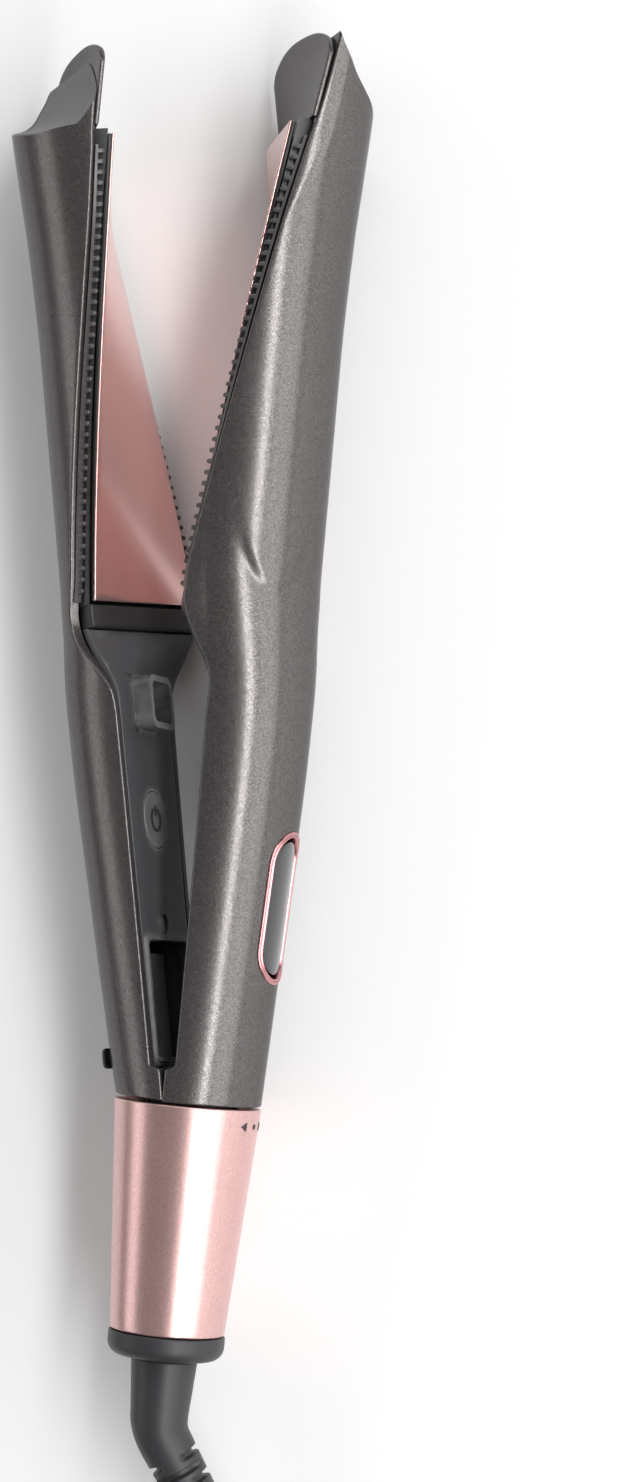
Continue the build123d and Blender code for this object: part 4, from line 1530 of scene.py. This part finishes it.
@dataclass
class StrainRelief:
    """Swivelling neck, elbow and ribbed sleeve that the cord leaves through."""

    place: Placement
    top: float = -54.6
    gap: float = 0.3
    neck: float = 11.5
    neck_radii: tuple[float, float] = (7.2, 6.3)
    bend_deg: float = 33.0
    bend_radius: float = 12.0
    side_deg: float = -25.0
    pitch: float = 2.8
    ribs: int = 13
    end_rib: float = 4.35
    core_radii: tuple[float, float] = (5.4, 3.6)
    collar_radius: float = 5.75
    collar: float = 2.4
    end_lip: float = 1.5

    def spine(self, distance: float) -> tuple[Vector, Vector]:
        """Point and direction of the relief's middle line.

        Args:
            distance: Distance along it from the top of the neck.

        Returns:
            The point and the direction in the arm frame.
        """
        side = math.radians(self.side_deg)
        outward = Vector((math.cos(side), 0, math.sin(side)))
        down = Vector((0, -1, 0))
        start = Vector((0, self.top - self.gap, 0)) + down * self.neck
        bend = math.radians(self.bend_deg)
        arc = bend * self.bend_radius
        if distance <= self.neck:
            return start + down * (distance - self.neck), down
        along = min(distance - self.neck, arc)
        a = along / self.bend_radius
        centre = start + outward * self.bend_radius
        point = centre - outward * self.bend_radius * math.cos(a) + down * self.bend_radius * math.sin(a)
        heading = outward * math.sin(a) + down * math.cos(a)
        return point + heading * max(0.0, distance - self.neck - arc), heading

    def radius(self, distance: float, angle: float) -> float:
        """Outer radius at a distance along the middle line and an angle round it.

        Args:
            distance: Distance along the middle line.
            angle: Angle round it, in radians.

        Returns:
            The outer radius.
        """
        arc = math.radians(self.bend_deg) * self.bend_radius
        ribbed = distance - self.neck - arc
        if ribbed < 0:
            share = min(distance / self.neck, 1.0)
            plain = self.neck_radii[0] + (self.neck_radii[1] - self.neck_radii[0]) * share
            after = max(0.0, distance - self.neck) / arc
            return plain + (self.collar_radius - self.neck_radii[1]) * ease(after) - roll(distance, 0.5)
        total = self.pitch * self.ribs + self.end_lip
        share = ribbed / total
        core = self.core_radii[0] + (self.core_radii[1] - self.core_radii[0]) * share
        crown = self.collar_radius + (self.end_rib - self.collar_radius) * min(1.0, share)
        step, phase = divmod(ribbed - self.collar, self.pitch)
        if ribbed < self.collar or step >= self.ribs - 1:
            return min(crown, core + 1.2) - roll(total - ribbed, 0.5)
        groove = 1 - ease((abs(phase / self.pitch - 0.5) - 0.17) / 0.13)
        turn = math.cos(2 * angle + math.pi * step)
        window = ease((turn + 0.75) / 0.5)
        return crown - (crown - core + 0.9) * groove * window

    def build(self) -> bpy.types.Object:
        """Makes the strain relief.

        Returns:
            The strain relief.
        """
        arc = math.radians(self.bend_deg) * self.bend_radius
        total = self.neck + arc + self.pitch * self.ribs + self.end_lip
        marks = [0.0, 0.05, 0.15, 0.3, 0.5] + [1.0 + 1.5 * i for i in range(9)]
        marks += [self.neck + 0.4 * i for i in range(16)]
        ribbed = self.neck + arc + 0.2
        marks += [ribbed + (total - ribbed) * i / 190 for i in range(191)]
        marks = sorted(m for m in marks if m <= total)
        loops = []
        for distance in marks:
            point, heading = self.spine(distance)
            side = heading.cross(Vector((0.3, 0, 1))).normalized()
            up = side.cross(heading)
            loop = []
            for k in range(48):
                a = 2 * math.pi * k / 48
                r = self.radius(distance, a)
                loop.append(point + side * (r * math.cos(a)) + up * (r * math.sin(a)))
            loops.append(loop)
        shape = Builder()
        shape.loft(loops)
        barrel = [(6.2, self.top - 0.2), (6.2, self.top + 2.3), (8.0, self.top + 2.3), (8.0, self.top + 4.0)]
        shape.lathe([(0.01, self.top - 0.2), *barrel, (0.01, self.top + 4.0)], 64)
        made = shape.finish("cord_strain_relief", self.place.matrix, BLACK_SOFT, 50)
        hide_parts("strain_relief")
        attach(made, "swivel")
        LOG.info("built the strain relief")
        return made


# ---- mains cord ---------------------------------------------------------------------------------
@dataclass
class MainsCord:
    """Cord from the strain relief, along the floor into its coil, and out to the plug. In metres."""

    diameter: float = 0.006
    length: float = 1.7
    lead: tuple[tuple[float, float, float], ...] = (
        (0.03991, -0.16921, 0.01044),
        (0.0483, -0.18347, 0.00653),
        (0.052, -0.2044, 0.0033),
        (0.0546, -0.2249, 0.003),
        (0.0547, -0.2449, 0.003),
    )
    coil_centre: tuple[float, float] = (0.0134, -0.2644)
    turn_radii: tuple[float, ...] = (0.041, 0.035, 0.029, 0.029, 0.035, 0.041, 0.035, 0.041)
    layers: tuple[float, ...] = (0.003, 0.003, 0.003, 0.009, 0.009, 0.009, 0.015, 0.015)
    turns: float = 7.0
    tail: tuple[tuple[float, float, float], ...] = (
        (0.0544, -0.2794, 0.014),
        (0.0518, -0.2954, 0.007),
        (0.0518, -0.3104, 0.007),
    )
    blend_end: float = -0.2152
    per_turn: int = 24
    sides: int = 20

    def coil(self) -> list[tuple[float, float, float]]:
        """Points of the coil's turns, each laid beside or on the last.

        Returns:
            The points, from the coil's start to its end.
        """
        points = []
        tighten = math.cos(math.pi / self.per_turn)
        for k in range(int(self.turns * self.per_turn) + 1):
            turn, step = divmod(k, self.per_turn)
            phase = step / self.per_turn
            following = min(turn + 1, len(self.turn_radii) - 1)
            inward = ease((phase - 0.82) / 0.18)
            upward = ease((phase - 0.62) / 0.18)
            radius = self.turn_radii[turn] + inward * (self.turn_radii[following] - self.turn_radii[turn])
            level = self.layers[turn] + upward * (self.layers[following] - self.layers[turn])
            a = -2 * math.pi * phase
            x = self.coil_centre[0] + radius / tighten * math.cos(a)
            y = self.coil_centre[1] + radius / tighten * math.sin(a)
            points.append((x, y, level))
        return points

    def centreline(self) -> list[Vector]:
        """Points read from the smooth spline through the route.

        Returns:
            The points, from the strain relief to the plug.
        """
        route = [*self.lead, *self.coil(), *self.tail]
        curve = bpy.data.curves.new("cord_line", "CURVE")
        curve.dimensions = "3D"
        spline = curve.splines.new("NURBS")
        spline.points.add(len(route) - 1)
        for point, place in zip(spline.points, route):
            point.co = (*place, 1.0)
        spline.order_u = 3
        spline.use_endpoint_u = True
        spline.resolution_u = 5
        line = bpy.data.objects.new("cord_line", curve)
        bpy.context.scene.collection.objects.link(line)
        bpy.context.view_layer.update()
        graph = bpy.context.evaluated_depsgraph_get()
        mesh = bpy.data.meshes.new_from_object(line.evaluated_get(graph))
        points = [v.co.copy() for v in mesh.vertices]
        bpy.data.objects.remove(line)
        bpy.data.meshes.remove(mesh)
        return points

    def tube(self, path: list[Vector]) -> bpy.types.Object:
        """Round tube along a path, without twist.

        Args:
            path: Points of the middle line.

        Returns:
            The cord.
        """
        normal = Vector((0, 0, 1))
        loops = []
        for i, point in enumerate(path):
            heading = (path[min(i + 1, len(path) - 1)] - path[max(i - 1, 0)]).normalized()
            normal = (normal - heading * normal.dot(heading)).normalized()
            side = heading.cross(normal)
            loop = []
            for k in range(self.sides):
                a = 2 * math.pi * k / self.sides
                loop.append(point + (normal * math.cos(a) + side * math.sin(a)) * self.diameter / 2)
            loops.append(loop)
        shape = Builder()
        shape.loft(loops)
        return shape.finish("mains_cord", Matrix.Identity(4), CORD_JACKET, 60)

    def build(self, relief: bpy.types.Object, plug: Sequence[bpy.types.Object]) -> None:
        """Args:
            relief: The strain relief that the cord leaves through; not used.
            plug: The plug's pieces; not used.
        """
        path = self.centreline()
        made = self.tube(path)
        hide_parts("cord_tube", "cord_coil", "cord_tail")
        start, end = self.lead[0], (self.lead[0][0], self.blend_end, self.lead[0][2])
        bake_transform(made)
        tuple(start)
        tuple(end)
        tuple(self.lead[0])
        LOG.info("built the cord")


@dataclass
class Plug:
    """Flat two-pin plug that the cord ends in, drawn in millimetres from the cord's end, pins along -Y."""

    end: tuple[float, float, float] = (0.0518, -0.3104, 0.007)
    pin_gap: float = 9.3
    pin_radius: float = 2.0
    pin_length: float = 19.0
    face: float = 36.0
    step: float = 0.45
    boot: float = 9.5
    boot_pitch: float = 2.35
    grip: tuple[float, float] = (13.5, 23.0)
    grip_pitch: float = 1.9
    rows: tuple[tuple[float, float, float], ...] = (
        (0.1, 4.3, 4.3),
        (2.0, 4.5, 4.5),
        (8.0, 5.0, 5.0),
        (11.0, 7.5, 5.8),
        (13.5, 11.0, 6.2),
        (16.0, 11.9, 6.4),
        (19.5, 11.6, 6.3),
        (22.0, 12.6, 6.4),
        (24.5, 15.6, 6.7),
        (27.0, 17.2, 6.8),
        (34.6, 17.6, 6.8),
        (35.6, 17.2, 6.4),
        (36.0, 16.5, 5.8),
    )

    def section(self, back: float, half: float, height: float) -> Loop:
        """Superelliptic section at a distance behind the cord's end.

        Args:
            back: Distance behind the cord's end.
            half: Half width.
            height: Half height.

        Returns:
            The section's loop.
        """
        power = 2.0 + 2.6 * min(1.0, max(0.0, half - 5.0) / 6.0)
        loop = []
        for k in range(56):
            a = 2 * math.pi * k / 56
            c, n = math.cos(a), math.sin(a)
            reach = (abs(c) ** power + abs(n) ** power) ** (-1 / power)
            loop.append(Vector((half * reach * c, -back, height * reach * n)))
        return loop

    def body(self) -> bpy.types.Object:
        """Moulded body with a ringed boot, a waisted grip and a flat face.

        Returns:
            The body.
        """
        start = self.rows[0][0]
        count = int((self.face - start) / self.step) + 1
        steps = [start + self.step * i for i in range(count)] + [self.face - 0.2, self.face]
        loops = []
        for back in steps:
            half, height = smooth_table(self.rows, back)
            if back < self.boot:
                groove = 0.55 * (0.5 - 0.5 * math.cos(2 * math.pi * (back - start) / self.boot_pitch))
                half, height = half - groove, height - groove
            if self.grip[0] < back < self.grip[1]:
                half -= 0.35 * (0.5 - 0.5 * math.cos(2 * math.pi * (back - self.grip[0]) / self.grip_pitch))
            loops.append(self.section(back, half, height))
        shape = Builder()
        shape.loft(loops)
        made = shape.finish("plug_shell", self.stand(), BLACK_SOFT, 40)
        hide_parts("plug_body")
        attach(made, "handle")
        return made

    def pins(self) -> bpy.types.Object:
        """Two pins with insulated roots and rounded tips.

        Returns:
            The pins.
        """
        r, root = self.pin_radius, self.face + 0.1
        tip = root + self.pin_length
        profile = [(0.01, root), (r, root), (r, root + 9.5), (r - 0.12, root + 9.8), (r - 0.12, tip - 1.8)]
        profile += [(r - 0.3, tip - 1.0), (r - 0.8, tip - 0.3), (r - 1.4, tip), (0.01, tip)]
        shape = Builder()
        for side in (-1, 1):
            frame = Matrix.Translation((side * self.pin_gap, 0, 0)) @ Matrix.Rotation(math.pi / 2, 4, "X")
            shape.lathe(profile, 40, frame)
        made = shape.finish("plug_contact_pins", self.stand(), NICKEL, 40)
        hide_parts("plug_pins")
        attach(made, "handle")
        return made

    def stand(self) -> Matrix:
        """From the plug's own millimetres to the row frame."""
        return Matrix.Translation(self.end) @ Matrix.Diagonal((MM, MM, MM, 1.0))

    def build(self) -> list[bpy.types.Object]:
        """Makes the plug's body and pins.

        Returns:
            The body and the pins.
        """
        made = [self.body(), self.pins()]
        LOG.info("built the plug")
        return made


# ---- carried-over CAD pieces --------------------------------------------------------------------
CARRIED: dict[Finish, tuple[str, ...]] = {
    STEEL: ("hinge_pin", "hinge_washers", "torsion_spring", "dial_spring", "front_screws", "rear_screws",
            "front_heater_clamp", "rear_heater_clamp", "tact_switch"),
    BLACK_FRAME: ("hinge_block", "rear_hinge_arm"),
    BLACK_SOFT: ("core_tube", "contact_block"),
    PRINT_DARK: ("sleeve_marks", "power_symbol"),
    CHIP: ("board_components", "dial_cam", "display_module"),
    BOARD: ("control_board", "switch_board", "dial_sensor"),
    BRASS: ("swivel_contacts",),
    HEATER: ("front_heater", "rear_heater", "front_fuse", "rear_fuse", "front_thermistor", "rear_thermistor"),
    INSULATION: ("front_insulation", "rear_insulation"),
    WIRE: ("front_wires", "rear_wires", "lead_wires"),
}


def dress_carried() -> None:
    """Gives every CAD node that no drawn piece replaces its finish."""
    for finish, nodes in CARRIED.items():
        for name in nodes:
            mesh = bpy.data.objects[name].data
            mesh.materials.clear()
            mesh.materials.append(finish.material())
    LOG.info("dressed %d CAD nodes", sum(len(nodes) for nodes in CARRIED.values()))


# ---- studio -------------------------------------------------------------------------------------
@dataclass
class Studio:
    """Camera, pale floor and soft lights."""

    form: ArmForm
    place: Placement
    elevation_deg: float = 68.0
    lean_deg: float = 5.25
    distance: float = 0.68
    foot_station: float = 38.5
    foot_offset: tuple[float, float] = (-0.0252, -0.04)
    lens: float = 75.9

    def camera(self) -> None:
        """Camera that looks square on the front arm at one station, with the aim beside it."""
        target = self.place.matrix @ Vector((0, self.foot_station, 0))
        up_angle = math.radians(self.elevation_deg)
        toward = Vector((math.cos(up_angle), 0, math.sin(up_angle)))
        up = Matrix.Rotation(math.radians(self.lean_deg), 3, toward) @ Vector((0, 1, 0))
        seen = Vector((self.foot_offset[0], self.foot_offset[1], -self.distance)).normalized()
        back = -seen
        level = (Vector((0, 1, 0)) - back * back.y).normalized()
        own = Matrix((level.cross(back), level, back)).transposed()
        world = Matrix((up.cross(toward), up, toward)).transposed()
        data = bpy.data.cameras.new("camera")
        data.lens, data.sensor_width = self.lens, 36.0
        data.clip_start, data.clip_end = 0.05, 20.0
        made = bpy.data.objects.new("camera", data)
        turn = (world @ own.inverted()).to_4x4()
        made.matrix_world = Matrix.Translation(target + toward * self.distance) @ turn
        bpy.context.scene.collection.objects.link(made)
        bpy.context.scene.camera = made

    def floor(self) -> None:
        """Large pale floor under the iron."""
        half = 4.0
        shape = Builder()
        shape.points = [Vector((x * half, y * half, 0)) for x, y in ((-1, -1), (1, -1), (1, 1), (-1, 1))]
        shape.faces = [(0, 1, 2, 3)]
        made = shape.finish("studio_floor", Matrix.Identity(4), FLOOR)

    def area(self, name: str, place: Colour, aim: Colour, size: tuple[float, float], power: float) -> None:
        """Soft rectangular light.

        Args:
            name: The light's name.
            place: Where it stands.
            aim: What it points at.
            size: Its width and height.
            power: Watts.
        """
        data = bpy.data.lights.new(name, "AREA")
        data.shape, data.size, data.size_y, data.energy = "RECTANGLE", size[0], size[1], power
        made = bpy.data.objects.new(name, data)
        made.location = place
        made.rotation_euler = (Vector(aim) - Vector(place)).to_track_quat("-Z", "Y").to_euler()
        bpy.context.scene.collection.objects.link(made)

    def world(self, strength: float) -> None:
        """Even grey surroundings.

        Args:
            strength: Strength of the surroundings' light.
        """
        made = bpy.data.worlds.new("studio")
        made.use_nodes = True
        background = next(n for n in made.node_tree.nodes if n.type == "BACKGROUND")
        background.inputs["Color"].default_value = (1, 1, 1, 1)
        background.inputs["Strength"].default_value = strength
        bpy.context.scene.world = made

    def build(self) -> None:
        """Sets the whole studio up."""
        self.camera()
        self.floor()
        self.world(0.2)
        self.area("strip", (0.88, 0.0, 0.98), (0.02, 0, 0.02), (2.6, 0.2), 19)
        self.area("soft_right", (1.3, 0.0, 0.5), (0, 0, 0.02), (2.4, 0.7), 13)
        self.area("soft_left", (-1.3, 0.0, 0.8), (0, 0, 0), (2.4, 0.6), 6)
        self.area("overhead", (0.0, 1.5, 1.2), (0, 0, 0), (1.8, 0.8), 7)
        bpy.context.scene.view_settings.view_transform = "Standard"


def main() -> None:
    """Builds every piece in order."""
    logging.basicConfig(level=logging.INFO, format="%(name)s: %(message)s")
    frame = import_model()
    form = ArmForm()
    hinge = next(j for j in frame["joints"] if j["name"] == "arm_hinge")
    front, rear = Placement.pair(form, hinge["range_deg"][1])
    Studio(form, front).build()
    dress_carried()
    relief = StrainRelief(front).build()
    MainsCord().build(relief, Plug().build())
    HandleEnd(front).build()
    for place, phase, screw in ((front, 0.0, 76.0), (rear, 0.5, 39.0)):
        shell = ArmShell(form, place, screw).build()
        if place is front:
            DisplayWindow(form, place).cut_opening(shell)
        else:
            RearControls(form, place).cut_slot(shell)
        LOG.info("built %s", shell.name)
        PlateSet(form, place, phase).build()
        InnerCover(form, place, screw).build()
    DisplayWindow(form, front).build()
    RearControls(form, rear).build()


if __name__ == "__main__":
    main()
